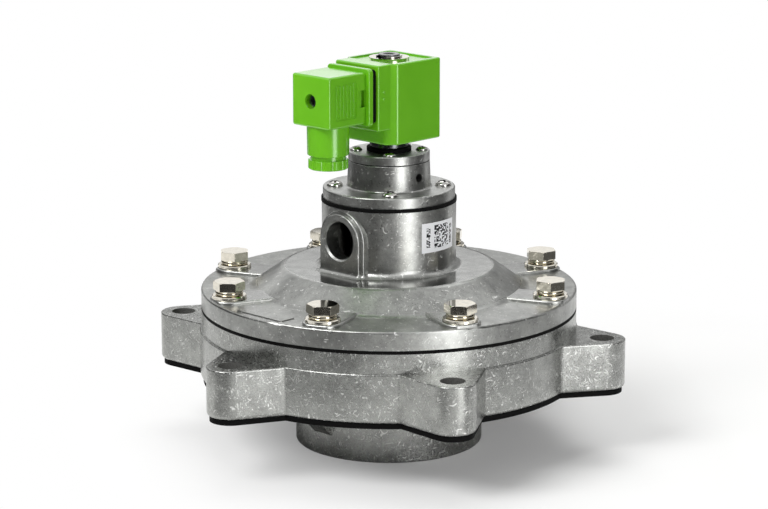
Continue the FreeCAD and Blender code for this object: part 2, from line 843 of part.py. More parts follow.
def footed(block, front):
    """Port arch with its front edge rounded and a fillet where it stands on the dome's top."""
    block = block.makeFillet(port_edge_round, outline_edges(block, front))
    reach = 2.0 * port_foot_fillet
    box = block.BoundBox
    ground = bar(
        box.XMin - reach, box.XMax + reach, front - reach, -exhaust_chamber_radius,
        dome_top_z - LOOSE, dome_top_z,
    )
    standing = joined([block, ground])
    foot = []
    for edge in edges_at_height(standing, dome_top_z):
        middle = edge.CenterOfMass
        beside = abs(middle.x) < box.XMax + port_foot_fillet
        before = front - port_foot_fillet < middle.y < -exhaust_chamber_radius - port_foot_fillet
        if beside and before:
            foot.append(edge)
    return standing.makeFillet(port_foot_fillet, foot)


def outline_edges(shape, y_level):
    """Edges of a front face, apart from the one along its foot."""
    found = []
    for edge in shape.Edges:
        box = edge.BoundBox
        in_face = abs(box.YMin - y_level) < 1e-4 and abs(box.YMax - y_level) < 1e-4
        if in_face and box.ZLength > 1e-4:
            found.append(edge)
    return found


def blank_panel():
    middle = -cover_bolt_circle_radius
    half_width = blank_panel_width / 2.0
    return plate(
        rectangle(
            -blank_panel_length / 2.0, blank_panel_length / 2.0,
            middle - half_width, middle + half_width, blank_panel_round,
        ),
        rim_top_z - LOOSE, rim_top_z + blank_panel_height,
    )


def main_cover():
    shell = cover_shell()
    pads = []
    for index in range(cover_bolt_count):
        pads.append(turned(bolt_pad(), cover_bolt_start + 360.0 * index / cover_bolt_count))
    hollow = cylinder(exhaust_chamber_radius, exhaust_floor_z, turret_top_z + LOOSE)
    boss = port_boss().cut(hollow)
    cover = joined([shell, boss, blank_panel()] + pads)
    chamber_wall = cylinder(turret_radius - LOOSE, exhaust_floor_z - LOOSE, turret_top_z)
    for post in spread(
        cylinder(screw_boss_radius, exhaust_floor_z - LOOSE, turret_top_z),
        pilot_screw_count, pilot_screw_circle_radius, pilot_screw_start,
    ):
        cover = cover.fuse(post.common(chamber_wall))
    cover = cover.removeSplitter()
    port_bore = rod_along_y(
        port_bore_diameter / 2.0, -port_face_offset - LOOSE, -riser_radius - 2.0 * LOOSE, 0.0, port_z,
    )
    mouth_radius = port_bore_diameter / 2.0 + port_mouth_chamfer
    mouth = Part.makeCone(
        mouth_radius + LOOSE, mouth_radius - port_mouth_chamfer, port_mouth_chamfer + LOOSE,
        FreeCAD.Vector(0, -port_face_offset - LOOSE, port_z), FreeCAD.Vector(0, 1, 0),
    )
    cover = cover.cut(port_bore).cut(mouth)
    cover = cover.cut(holes(
        cover_hole_radius, cover_base_z - LOOSE, pad_top_z + LOOSE,
        cover_bolt_count, cover_bolt_circle_radius, cover_bolt_start,
    ))
    screw_end_z = pilot_screw_seat_z - pilot_screw_length
    return cover.cut(holes(
        pilot_screw_hole_radius, screw_end_z - LOOSE, turret_top_z + LOOSE,
        pilot_screw_count, pilot_screw_circle_radius, pilot_screw_start,
    ))


def cover_bolts():
    seat = cover_bolt_seat_z
    bolt = hexagon_head(cover_bolt_head_width, cover_bolt_head_height, seat)
    shank = cylinder(cover_bolt_diameter / 2.0, seat - cover_bolt_length, seat)
    bolt = bolt.fuse(shank).removeSplitter()
    return Part.makeCompound(spread(bolt, cover_bolt_count, cover_bolt_circle_radius, cover_bolt_start))


def cover_flat_washers():
    high = pad_top_z + flat_washer_thickness
    washer = revolved([
        (cover_hole_radius, pad_top_z),
        (flat_washer_diameter / 2.0, pad_top_z),
        (flat_washer_diameter / 2.0, high, 0.3 * flat_washer_thickness),
        (cover_hole_radius, high),
    ])
    return Part.makeCompound(spread(washer, cover_bolt_count, cover_bolt_circle_radius, cover_bolt_start))


def cover_spring_washers():
    """Split washers, each with its slanting cut."""
    low = pad_top_z + flat_washer_thickness
    washer = ring(spring_washer_diameter / 2.0, cover_hole_radius, low, low + spring_washer_thickness)
    half_slot = spring_washer_slot / 2.0
    slot = bar(
        -half_slot, half_slot, -spring_washer_diameter, -cover_hole_radius / 2.0,
        low - spring_washer_thickness, low + 2.0 * spring_washer_thickness,
    )
    slot.rotate(FreeCAD.Vector(0, 0, low + spring_washer_thickness / 2.0), FreeCAD.Vector(0, 1, 0), 20)
    washer = turned(washer.cut(slot), 35)
    return Part.makeCompound(spread(washer, cover_bolt_count, cover_bolt_circle_radius, cover_bolt_start))


def pilot_diaphragm():
    low = turret_top_z
    edge = turret_radius + pilot_diaphragm_overhang
    sheet = ring(edge, pilot_rivet_radius + thread_clearance, low, pilot_cover_z)
    return sheet.cut(holes(
        pilot_screw_hole_radius, low - LOOSE, pilot_cover_z + LOOSE,
        pilot_screw_count, pilot_screw_circle_radius, pilot_screw_start,
    ))


def pilot_disc():
    """Rubber disc under the pilot diaphragm, which closes on the riser's rim."""
    return ring(
        pilot_disc_radius, pilot_rivet_radius + thread_clearance, pilot_seat_z + seat_gap, turret_top_z,
    )


def pilot_plate():
    """Plate above the pilot diaphragm, made in one with the rivet that holds the disc."""
    low = pilot_cover_z
    foot_z = pilot_seat_z + seat_gap
    rivet = cylinder(pilot_rivet_radius, foot_z, low + pilot_plate_thickness)
    head = cylinder(pilot_rivet_head_radius, foot_z - pilot_rivet_head_height, foot_z)
    plate_disc = cylinder(pilot_plate_radius, low, low + pilot_plate_thickness)
    solid = joined([plate_disc, rivet, head])
    return solid.cut(cylinder(pilot_bleed_radius, solid.BoundBox.ZMin - LOOSE, solid.BoundBox.ZMax + LOOSE))


def pilot_spring():
    return coil_spring(
        pilot_spring_radius, pilot_spring_wire, pilot_spring_turns,
        pilot_cover_z + pilot_plate_thickness, control_ceiling_z,
    )


def pilot_cover():
    """Flanged plate and tower, with the control chamber below and the vent chamber above."""
    outside = revolved([
        (0, pilot_cover_z),
        (pilot_cover_radius, pilot_cover_z),
        (pilot_cover_radius, pilot_plate_top_z, plate_edge_round),
        (tower_radius, pilot_plate_top_z, tower_foot_fillet),
        (tower_top_radius, tower_top_z, tower_top_round),
        (0, tower_top_z),
    ])
    control = revolved([
        (0, pilot_cover_z - LOOSE),
        (control_chamber_radius, pilot_cover_z - LOOSE),
        (control_chamber_radius, control_ceiling_z, chamber_round),
        (0, control_ceiling_z),
    ])
    vent = revolved([
        (nozzle_radius, vent_floor_z),
        (vent_chamber_radius, vent_floor_z, chamber_round),
        (vent_chamber_radius, tower_top_z + LOOSE),
        (0, tower_top_z + LOOSE),
        (0, nozzle_top_z),
        (nozzle_radius - nozzle_chamfer, nozzle_top_z),
        (nozzle_radius, nozzle_top_z - nozzle_chamfer),
    ])
    cover = outside.cut(control).cut(vent)
    cover = cover.cut(cylinder(nozzle_bore_radius, control_ceiling_z - LOOSE, nozzle_top_z + LOOSE))
    vent_hole = Part.makeCylinder(
        vent_hole_diameter / 2.0, tower_radius, FreeCAD.Vector(vent_chamber_radius - LOOSE, 0, vent_z),
        FreeCAD.Vector(1, 0, 0),
    )
    cover = cover.cut(vent_hole)
    cover = cover.cut(holes(
        pilot_screw_hole_radius, pilot_cover_z - LOOSE, pilot_plate_top_z + LOOSE,
        pilot_screw_count, pilot_screw_circle_radius, pilot_screw_start,
    ))
    cover = cover.cut(holes(
        pilot_screw_head_diameter / 2.0 + fitting_gap, pilot_screw_seat_z, pilot_plate_top_z + 4.0 * LOOSE,
        pilot_screw_count, pilot_screw_circle_radius, pilot_screw_start,
    ))
    return cover.cut(holes(
        cap_screw_hole_radius, cap_screw_seat_z - cap_screw_length - LOOSE,
        tower_top_z + LOOSE, cap_screw_count, cap_screw_circle_radius, cap_screw_start,
    ))


def pilot_cover_screws():
    screw = pan_head_screw(
        pilot_screw_diameter, pilot_screw_length, pilot_screw_head_diameter, pilot_screw_head_height,
        pilot_screw_seat_z,
    )
    return Part.makeCompound(spread(screw, pilot_screw_count, pilot_screw_circle_radius, pilot_screw_start))


def cap_gasket():
    sheet = ring(tower_top_radius, tube_flange_radius + fitting_gap, tower_top_z, cap_z)
    return sheet.cut(holes(
        cap_screw_hole_radius, tower_top_z - LOOSE, cap_z + LOOSE,
        cap_screw_count, cap_screw_circle_radius, cap_screw_start,
    ))


def tower_cap():
    """Round cap that clamps the armature tube's flange on the tower."""
    cap = revolved([
        (tube_radius + thread_clearance, cap_z),
        (tower_top_radius, cap_z),
        (tower_top_radius, cap_top_z, cap_edge_round),
        (tube_radius + thread_clearance, cap_top_z),
    ])
    cap = cap.cut(cylinder(tube_flange_radius + fitting_gap, cap_z - LOOSE, cap_z + tube_flange_thickness))
    cap = cap.cut(holes(
        cap_screw_hole_radius, cap_z - LOOSE, cap_top_z + LOOSE,
        cap_screw_count, cap_screw_circle_radius, cap_screw_start,
    ))
    return cap.cut(holes(
        cap_screw_head_diameter / 2.0 + fitting_gap, cap_screw_seat_z, cap_top_z + LOOSE,
        cap_screw_count, cap_screw_circle_radius, cap_screw_start,
    ))


def cap_screws():
    screw = pan_head_screw(
        cap_screw_diameter, cap_screw_length, cap_screw_head_diameter, cap_screw_head_height,
        cap_screw_seat_z,
    )
    return Part.makeCompound(spread(screw, cap_screw_count, cap_screw_circle_radius, cap_screw_start))


def armature_tube():
    """Thin tube with a turned-out flange at its foot."""
    return revolved([
        (tube_bore_radius, cap_z),
        (tube_flange_radius, cap_z),
        (tube_flange_radius, cap_z + tube_flange_thickness),
        (tube_radius, cap_z + tube_flange_thickness),
        (tube_radius, washer_seat_z),
        (tube_bore_radius, washer_seat_z),
    ])


def tube_o_ring():
    """O-ring between the tower's top face and the armature tube's flange."""
    height = cap_z - tower_top_z
    radius = (tube_bore_radius + tube_flange_radius) / 2.0
    half_width = tube_o_ring_wire / 2.0
    return ring(radius + half_width, radius - half_width, tower_top_z, tower_top_z + height)


def fixed_core():
    """Iron core in the tube's upper end, with the clip's neck above the coil."""
    washer_top = washer_seat_z + coil_washer_thickness
    clip_top = washer_top + clip_thickness
    body = cylinder(plunger_radius, core_z, washer_seat_z)
    head = revolved([
        (0, washer_seat_z),
        (tube_radius, washer_seat_z),
        (tube_radius, washer_top),
        (core_neck_radius, washer_top),
        (core_neck_radius, clip_top),
        (tube_radius, clip_top),
        (tube_radius, washer_seat_z + core_end_height, seat_edge_round),
        (0, washer_seat_z + core_end_height),
    ])
    return body.fuse(head).removeSplitter()


def plunger():
    """Iron plunger with a seal pocket below and a spring pocket above."""
    body = revolved([
        (0, plunger_z),
        (plunger_radius, plunger_z, plunger_edge_round),
        (plunger_radius, plunger_top_z, plunger_edge_round),
        (0, plunger_top_z),
    ])
    body = body.cut(cylinder(plunger_seal_radius, plunger_z - LOOSE, plunger_z + plunger_seal_thickness))
    return body.cut(cylinder(
        plunger_spring_bore_radius, plunger_top_z - plunger_spring_pocket_depth, plunger_top_z + LOOSE,
    ))


def plunger_seal():
    return cylinder(plunger_seal_radius, plunger_z, plunger_z + plunger_seal_thickness)


def plunger_spring():
    return coil_spring(
        plunger_spring_radius, plunger_spring_wire, plunger_spring_turns,
        plunger_top_z - plunger_spring_pocket_depth, core_z,
    )


def stem_seal():
    """Black rubber ring between the tower cap and the collar."""
    return revolved([
        (tube_radius + thread_clearance, cap_top_z),
        (stem_seal_radius, cap_top_z, stem_edge_round),
        (stem_seal_radius, collar_z, stem_edge_round),
        (tube_radius + thread_clearance, collar_z),
    ])


def tube_collar():
    return revolved([
        (tube_radius + thread_clearance, collar_z),
        (collar_radius, collar_z, stem_edge_round),
        (collar_radius, coil_z, stem_edge_round),
        (tube_radius + thread_clearance, coil_z),
    ])


def coil_outside():
    chamfer = coil_front_chamfer
    outline = [
        (coil_half_width, coil_back, coil_edge_round),
        (-coil_half_width, coil_back, coil_edge_round),
        (-coil_half_width, -coil_front + chamfer, coil_edge_round),
        (-coil_half_width + chamfer, -coil_front, coil_edge_round),
        (coil_half_width - chamfer, -coil_front, coil_edge_round),
        (coil_half_width, -coil_front + chamfer, coil_edge_round),
    ]
    body = plate(outline, coil_z, coil_top_z)
    body = body.makeFillet(0.7 * coil_edge_round, edges_at_height(body, coil_top_z))
    body = body.makeFillet(0.7 * coil_edge_round, edges_at_height(body, coil_z))
    boss = plate(
        rectangle(
            -coil_boss_half_width, coil_boss_half_width, -coil_boss_front, -coil_front / 2.0, coil_edge_round,
        ),
        coil_z + coil_boss_drop, coil_top_z,
    )
    boss = boss.makeFillet(0.7 * coil_edge_round, edges_at_height(boss, coil_top_z))
    return joined([body, boss])


def coil_bobbin():
    low = bobbin_z
    high = low + bobbin_height
    tube = coil_bore_radius + bobbin_wall
    return revolved([
        (coil_bore_radius, low),
        (bobbin_flange_radius, low),
        (bobbin_flange_radius, low + bobbin_flange_thickness),
        (tube, low + bobbin_flange_thickness),
        (tube, high - bobbin_flange_thickness),
        (bobbin_flange_radius, high - bobbin_flange_thickness),
        (bobbin_flange_radius, high),
        (coil_bore_radius, high),
    ])


def coil_winding():
    low = bobbin_z + bobbin_flange_thickness
    high = bobbin_z + bobbin_height - bobbin_flange_thickness
    return ring(winding_radius, coil_bore_radius + bobbin_wall, low, high)


def coil_yoke():
    """Iron strap over the bobbin's two ends and down its back."""
    low = bobbin_z
    high = low + bobbin_height
    back = bobbin_flange_radius + fitting_gap
    strap = bar(
        -yoke_half_width, yoke_half_width, -yoke_half_width, back + yoke_thickness,
        low - yoke_thickness, high + yoke_thickness,
    )
    inside = bar(-2.0 * yoke_half_width, 2.0 * yoke_half_width, -2.0 * yoke_half_width, back, low, high)
    strap = strap.cut(inside)
    return strap.cut(cylinder(coil_bore_radius, coil_z, coil_top_z))


def coil_housing():
    """Moulding around the winding, with a recessed top and a boss for the plug."""
    body = coil_outside()
    recess = plate(
        rectangle(
            -coil_half_width + coil_top_rim, coil_half_width - coil_top_rim,
            -coil_front + coil_top_rim, coil_back - coil_top_rim, coil_edge_round,
        ),
        coil_top_z - coil_top_recess, coil_top_z + LOOSE,
    )
    body = body.cut(recess).cut(cylinder(coil_bore_radius, coil_z - LOOSE, coil_top_z + LOOSE))
    low = bobbin_z
    pocket = cylinder(bobbin_flange_radius, low, low + bobbin_height)
    body = body.cut(pocket).cut(coil_yoke())
    for blade in terminal_blades():
        body = body.cut(blade)
    return body.cut(rod_along_y(
        plug_screw_hole_radius, -coil_boss_front - LOOSE, screw_tip_y + LOOSE, 0.0, plug_z,
    ))


def terminal_blades():
    """Two flat blades side by side and an earth blade below them."""
    y_low = -coil_boss_front - plug_gasket_thickness - terminal_length
    y_high = -coil_boss_front + terminal_root
    half_width = terminal_width / 2.0
    half_thick = terminal_thickness / 2.0
    blades = []
    for side in (-1.0, 1.0):
        x = side * terminal_pitch / 2.0
        blades.append(bar(
            x - half_thick, x + half_thick, y_low, y_high, plug_z - half_width, plug_z + half_width,
        ))
    z = plug_z - earth_terminal_drop
    blades.append(bar(-half_width, half_width, y_low, y_high, z - half_thick, z + half_thick))
    return blades


def coil_terminals():
    return Part.makeCompound(terminal_blades())


def coil_washer():
    return ring(
        coil_washer_radius, tube_radius + fitting_gap, washer_seat_z, washer_seat_z + coil_washer_thickness,
    )


def retaining_clip():
    """Open spring clip in the core's neck."""
    low = washer_seat_z + coil_washer_thickness
    high = low + clip_thickness
    clip = ring(clip_radius, core_neck_radius + running_clearance, low, high)
    slot = bar(-clip_gap_half_width, clip_gap_half_width, -2.0 * clip_radius, 0.0, low - LOOSE, high + LOOSE)
    return clip.cut(slot)


def blade_slots(y_low, y_high):
    slots = []
    for blade in terminal_blades():
        box = blade.BoundBox
        slots.append(bar(
            box.XMin - running_clearance, box.XMax + running_clearance, y_low, y_high,
            box.ZMin - running_clearance, box.ZMax + running_clearance,
        ))
    return slots


def plug_gasket():
    half = plug_gasket_half_width
    sheet = block_along_y(
        rectangle(-half, half, plug_z - half, plug_z + half, plug_gasket_round),
        plug_base_y, -coil_boss_front,
    )
    for slot in blade_slots(plug_base_y - LOOSE, -coil_boss_front + LOOSE):
        sheet = sheet.cut(slot)
    return sheet.cut(rod_along_y(
        plug_screw_hole_radius, plug_base_y - LOOSE, -coil_boss_front + LOOSE, 0.0, plug_z,
    ))


def contact_carrier():
    """Green base plate with the contact block that stands inside the hood."""
    base = block_along_y(
        rectangle(
            -plug_base_half_width, plug_base_half_width,
            plug_z - plug_base_half_height, plug_z + plug_base_half_height, plug_edge_round,
        ),
        hood_y, plug_base_y,
    )
    block = bar(
        -contact_block_half_width, contact_block_half_width,
        hood_y - contact_block_depth, hood_y + LOOSE,
        plug_z - contact_block_half_height, plug_z + contact_block_half_height,
    )
    carrier = joined([base, block])
    for slot in blade_slots(plug_base_y - terminal_length - fitting_gap, plug_base_y + LOOSE):
        carrier = carrier.cut(slot)
    return carrier.cut(rod_along_y(
        plug_screw_hole_radius, hood_y - contact_block_depth - LOOSE, plug_base_y + LOOSE,
        0.0, plug_z,
    ))


def grip_panel(side):
    """Recess on one side of the hood with its upright ribs left standing."""
    x_face = side * plug_half_width
    x_floor = side * (plug_half_width - grip_panel_depth)
    length = grip_rib_count * grip_rib_pitch
    y_low = hood_end_y + grip_panel_margin
    z_low = plug_z - grip_panel_height / 2.0
    z_high = plug_z + grip_panel_height / 2.0
    x_pair = sorted((x_floor, x_face + side * LOOSE))
    panel = bar(x_pair[0], x_pair[1], y_low, y_low + length, z_low, z_high)
    for index in range(grip_rib_count - 1):
        y = y_low + (index + 1) * grip_rib_pitch
        rib = bar(x_pair[0], x_pair[1], y - grip_rib_width / 2.0, y + grip_rib_width / 2.0, z_low, z_high)
        panel = panel.cut(rib)
    return panel


def hood_joint_groove():
    """Square ring cut round the hood's open end, so that it shows a dark line beside the base plate."""
    reach = 2.0 * plug_half_height
    y_low = hood_y - hood_joint_step
    frame = block_along_y(rectangle(-reach, reach, plug_z - reach, plug_z + reach), y_low, hood_y + LOOSE)
    core = block_along_y(
        rectangle(
            -plug_half_width + hood_joint_step, plug_half_width - hood_joint_step,
            plug_z - plug_half_height + hood_joint_step, plug_z + plug_half_height - hood_joint_step,
        ),
        y_low - LOOSE, hood_y + 2.0 * LOOSE,
    )
    return frame.cut(core)


def side_notch(side):
    """Shallow latch notch in one side of the hood, with a slot through the wall at its rear end."""
    half_height = side_notch_height / 2.0
    x_pair = sorted((side * (plug_half_width - side_notch_depth), side * (plug_half_width + LOOSE)))
    notch = bar(
        x_pair[0], x_pair[1], hood_y - side_notch_length, hood_y + LOOSE,
        plug_z - half_height, plug_z + half_height,
    )
    x_pair = sorted((side * (plug_half_width - plug_wall - LOOSE), side * (plug_half_width + LOOSE)))
    slot_y = hood_y - hood_joint_step
    slot = bar(
        x_pair[0], x_pair[1], slot_y - side_slot_width, slot_y, plug_z - half_height, plug_z + half_height,
    )
    return notch.fuse(slot)


def plug_hood():
    """Hollow hood with the cable gland's tube under it and the screw's recess in its end."""
    outside = plate(
        rectangle(-plug_half_width, plug_half_width, hood_end_y, hood_y, plug_edge_round),
        hood_floor_z, plug_z + plug_half_height,
    )
    outside = outside.makeFillet(0.7 * plug_edge_round, edges_at_height(outside, plug_z + plug_half_height))
    outside = outside.cut(hood_joint_groove())
    gland = cylinder(gland_radius, gland_end_z, hood_floor_z + plug_wall, 0.0, gland_y)
    neck = cylinder(gland_neck_radius, gland_neck_z, gland_end_z + LOOSE, 0.0, gland_y)
    hood = joined([outside, gland, neck])
    inside = bar(
        -plug_half_width + plug_wall, plug_half_width - plug_wall,
        hood_end_y + plug_wall, hood_y + LOOSE,
        hood_floor_z + plug_wall, plug_z + plug_half_height - plug_wall,
    )
    tower = rod_along_y(
        plug_screw_recess_diameter / 2.0 + plug_wall, hood_end_y + LOOSE,
        hood_end_y + plug_screw_recess_depth + plug_wall, 0.0, plug_z,
    )
    hood = hood.cut(inside.cut(tower))
    throat_top = plug_z - plug_half_height / 2.0
    hood = hood.cut(cylinder(gland_throat_radius, gland_neck_z - LOOSE, throat_top, 0.0, gland_y))
    seal_top = gland_neck_z + gland_seal_length
    hood = hood.cut(cylinder(gland_bore_radius, gland_neck_z - LOOSE, seal_top, 0.0, gland_y))
    hood = hood.cut(rod_along_y(
        plug_screw_recess_diameter / 2.0,
        hood_end_y - LOOSE, hood_end_y + plug_screw_recess_depth, 0.0, plug_z,
    ))
    hood = hood.cut(rod_along_y(
        plug_screw_hole_radius, hood_end_y, hood_y, 0.0, plug_z,
    ))
    for side in (-1.0, 1.0):
        hood = hood.cut(grip_panel(side)).cut(side_notch(side))
    return hood


def plug_screw():
    """Long screw through the hood, the contact block and the gasket into the coil."""
    head_y = hood_end_y + plug_screw_recess_depth
    head = rod_along_y(plug_screw_head_diameter / 2.0, head_y - plug_screw_head_height, head_y, 0.0, plug_z)
    shank = rod_along_y(plug_screw_diameter / 2.0, head_y, screw_tip_y, 0.0, plug_z)
    arm = 0.33 * plug_screw_head_diameter
    half_slot = 0.08 * plug_screw_head_diameter
    y_low = head_y - plug_screw_head_height - LOOSE
    y_high = head_y - 0.5 * plug_screw_head_height
    cross = bar(-arm, arm, y_low, y_high, plug_z - half_slot, plug_z + half_slot)
    upright_slot = bar(-half_slot, half_slot, y_low, y_high, plug_z - arm, plug_z + arm)
    return head.fuse(shank).removeSplitter().cut(cross).cut(upright_slot)


def gland_seal():
    return ring(
        gland_bore_radius - running_clearance, gland_seal_bore_radius,
        gland_neck_z + gland_washer_thickness, gland_neck_z + gland_seal_length, 0.0, gland_y,
    )


def gland_washer():
    return ring(
        gland_bore_radius - running_clearance, gland_washer_bore_radius,
        gland_neck_z, gland_neck_z + gland_washer_thickness, 0.0, gland_y,
    )


def gland_nut():
    """Round nut with flutes for the fingers and a hole for the cable."""
    low = gland_nut_z
    high = low + gland_nut_height
    nut = revolved([
        (0, low),
        (gland_nut_radius, low, gland_nut_round),
        (gland_nut_radius, high, gland_nut_round / 2.0),
        (0, high),
    ])
    flute_circle = gland_nut_radius + 0.55 * gland_nut_flute_radius
    nut = nut.cut(holes(
        gland_nut_flute_radius, low - LOOSE, high + LOOSE, gland_nut_lobes, flute_circle, 0.0,
    ))
    nut = nut.cut(cylinder(gland_neck_radius + running_clearance, low + gland_nut_floor, high + LOOSE))
    nut = nut.cut(cylinder(gland_nut_mouth_radius, low - LOOSE, high))
    return moved(nut, 0.0, gland_y)


def turret_label():
    """Thin sticker bent round the turret."""
    half_angle = math.degrees(label_length / 2.0 / turret_radius)
    low = dome_top_z + label_base_height
    sector = Part.makeCylinder(
        turret_radius + label_thickness, label_height, FreeCAD.Vector(0, 0, low), FreeCAD.Vector(0, 0, 1),
        2.0 * half_angle,
    )
    sector = sector.cut(cylinder(turret_radius, low - LOOSE, low + label_height + LOOSE))
    return turned(sector, label_centre_angle - 90.0 - half_angle)


pieces = {
    "manifold_body": manifold_body,
    "flange_gasket": flange_gasket,
    "main_diaphragm": main_diaphragm,
    "upper_plate": upper_plate,
    "lower_plate": lower_plate,
    "seat_disc": seat_disc,
    "plate_bolt": plate_bolt,
    "plate_nut": plate_nut,
    "main_spring": main_spring,
    "main_cover": main_cover,
    "cover_bolts": cover_bolts,
    "cover_flat_washers": cover_flat_washers,
    "cover_spring_washers": cover_spring_washers,
    "pilot_diaphragm": pilot_diaphragm,
    "pilot_disc": pilot_disc,
    "pilot_plate": pilot_plate,
    "pilot_spring": pilot_spring,
    "pilot_cover": pilot_cover,
    "pilot_cover_screws": pilot_cover_screws,
    "cap_gasket": cap_gasket,
    "tower_cap": tower_cap,
    "cap_screws": cap_screws,
    "armature_tube": armature_tube,
    "tube_o_ring": tube_o_ring,
    "fixed_core": fixed_core,
    "plunger": plunger,
    "plunger_seal": plunger_seal,
    "plunger_spring": plunger_spring,
    "stem_seal": stem_seal,
    "tube_collar": tube_collar,
    "coil_housing": coil_housing,
    "coil_bobbin": coil_bobbin,
    "coil_winding": coil_winding,
    "coil_yoke": coil_yoke,
    "coil_terminals": coil_terminals,
    "coil_washer": coil_washer,
    "retaining_clip": retaining_clip,
    "plug_gasket": plug_gasket,
    "contact_carrier": contact_carrier,
    "plug_hood": plug_hood,
    "plug_screw": plug_screw,
    "gland_seal": gland_seal,
    "gland_washer": gland_washer,
    "gland_nut": gland_nut,
    "turret_label": turret_label,
}

for name, make in pieces.items():
    shape = make()
    shape.exportStep(os.path.join("parts", name + ".step"))
    print(name, "solids", len(shape.Solids), "valid", shape.isValid(), "volume", round(shape.Volume, 1))
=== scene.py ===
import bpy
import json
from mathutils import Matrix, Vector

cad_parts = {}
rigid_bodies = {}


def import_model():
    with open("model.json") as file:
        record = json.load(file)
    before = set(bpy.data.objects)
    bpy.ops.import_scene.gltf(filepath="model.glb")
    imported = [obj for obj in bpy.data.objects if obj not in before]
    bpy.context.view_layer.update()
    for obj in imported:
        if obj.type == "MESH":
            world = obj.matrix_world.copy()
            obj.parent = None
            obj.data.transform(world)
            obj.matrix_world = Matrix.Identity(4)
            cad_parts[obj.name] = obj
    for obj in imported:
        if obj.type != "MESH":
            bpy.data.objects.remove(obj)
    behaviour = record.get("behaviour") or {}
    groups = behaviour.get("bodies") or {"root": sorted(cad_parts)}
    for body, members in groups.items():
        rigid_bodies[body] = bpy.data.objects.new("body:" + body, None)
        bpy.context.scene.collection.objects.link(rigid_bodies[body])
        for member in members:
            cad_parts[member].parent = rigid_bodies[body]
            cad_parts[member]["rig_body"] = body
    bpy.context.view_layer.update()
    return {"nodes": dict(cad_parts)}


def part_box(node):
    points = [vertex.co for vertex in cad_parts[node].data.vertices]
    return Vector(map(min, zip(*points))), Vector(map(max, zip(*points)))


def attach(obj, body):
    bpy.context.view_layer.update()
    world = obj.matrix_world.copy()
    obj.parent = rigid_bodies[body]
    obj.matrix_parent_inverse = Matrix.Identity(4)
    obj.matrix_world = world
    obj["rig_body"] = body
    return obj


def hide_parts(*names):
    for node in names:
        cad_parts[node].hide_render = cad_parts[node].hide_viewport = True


bl_info = {
    "name": "Tank-mounted pulse valve",
    "version": (1, 0, 0),
    "blender": (4, 5, 0),
    "location": "3D View > Sidebar > Pulse valve",
    "description": "Dresses the packed frame of a tank-mounted diaphragm pulse valve",
    "category": "Add Mesh",
}

import json
import math

import bmesh
import bpy
from mathutils import Vector

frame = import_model()

MM = 0.001                      # sizes are written in millimetres and built in metres
LARGE_ROUND = 96                # sides of a large, a middling and a small turned piece
ROUND = 64
SMALL_ROUND = 48
SMOOTH_ANGLE = math.radians(32)

# Castings in mm
LUG_CIRCLE_RADIUS = 127.0
LUG_HOLE_RADIUS = 7.0
LUG_COUNT = 6
PLATEAU_Z = 105.3
CASTING_REACH = 200.0           # past the edge of every machined face

# Fasteners in mm, their places and turns in degrees from -Y towards +X
COVER_BOLT_CIRCLE = 99.6
COVER_BOLT_PLACE = 22.5
COVER_BOLT_TURNS = (13, 6, 41, 49, 35, 21, 48, 11)
SHANK_RADIUS = 5.0
SPLIT_TURNS = (60, -100, 35, 120, -20, 10, 80, -60)
SPLIT_HALF_WIDTH = 0.75
SPLIT_LEAN = 24.0
SCREW_PLACE = 45.0
PILOT_SCREW_CIRCLE = 31.5
PILOT_SCREW_TURNS = (12, 70, 33, 50)
CAP_SCREW_CIRCLE = 19.0
CAP_SCREW_TURNS = (25, 60, 8, 40)

# Coil moulding in mm
COIL_FRONT = -18.8              # front face of the moulding, beside its boss
COIL_CHAMFER = 5.4
COIL_BORE = 7.2
COIL_RIM = 3.0                  # width of the rim round the sunk top
COIL_RIM_HEIGHT = 0.8
BOSS_HALF_WIDTH = 17.2
BOSS_RISE = 9.0                 # from the moulding's underside to the boss's
DOT_HEIGHTS = (211.4, 207.4)

# Plug in mm
PLUG_Z = 209.25                 # the plug's axis
HOOD_Y = -33.6                  # the hood's open end
HOOD_STEP = 0.9                 # the joint's groove
HOOD_TUBE_Y = 13.9              # the gland tube's axis, from the hood's outer end
HOOD_SCREW_BORE = 4.25
PANEL_DEPTH = 0.45
PANEL_START = 4.2               # from the hood's outer end
PANEL_END = 22.0
PANEL_HALF_HEIGHT = 10.4
NOTCH_LENGTH = 5.6
NOTCH_DEPTH = 1.3
NOTCH_HALF_HEIGHT = 4.85
LATCH_DEPTH = 7.0
RIB_COUNT = 6
RIB_START = 6.4                 # from the hood's outer end
RIB_PITCH = 2.7
RIB_HALF_WIDTH = 0.35
RIB_HALF_HEIGHT = 9.2
RIB_RISE = 0.6

# Core end, clip and main spring in mm
CORE_RADIUS = 6.3
CLIP_BORE = 5.2
CLIP_RADIUS = 7.6
CLIP_HALF_GAP = 4.0
SPRING_WIRE_RADIUS = 1.1
SPRING_TURNS = 6.0
SPRING_STEPS = 216              # 36 for each turn

# Label in mm
LABEL_RADIUS = 39.4
LABEL_PLACE = 92.5              # its middle, in degrees from -Y towards +X
# Blocks of print: corner along and up from the label's foot, size, and size of a printed cell
LABEL_PRINT = (
    ((-10.6, 3.0), (2.8, 11.4), 0.7),
    ((-4.8, 2.2), (12.8, 13.4), 0.8),
    ((9.2, 3.0), (2.1, 11.4), 0.7),
)
PRINTED_SHARE = 0.6

# Stage in metres and degrees, angles counted from -Y towards +X
CAMERA_TARGET = Vector((-0.00208, -0.00202, 0.11050))
CAMERA_DISTANCE = 1.59197
CAMERA_AZIMUTH = 44.2
CAMERA_ELEVATION = 13.242
CAMERA_LENS = 127.45
LAMP_TARGET = Vector((0, 0, 0.11))
FLOOR_RADIUS = 6.0

SCREEN_DISTANCE = 0.62
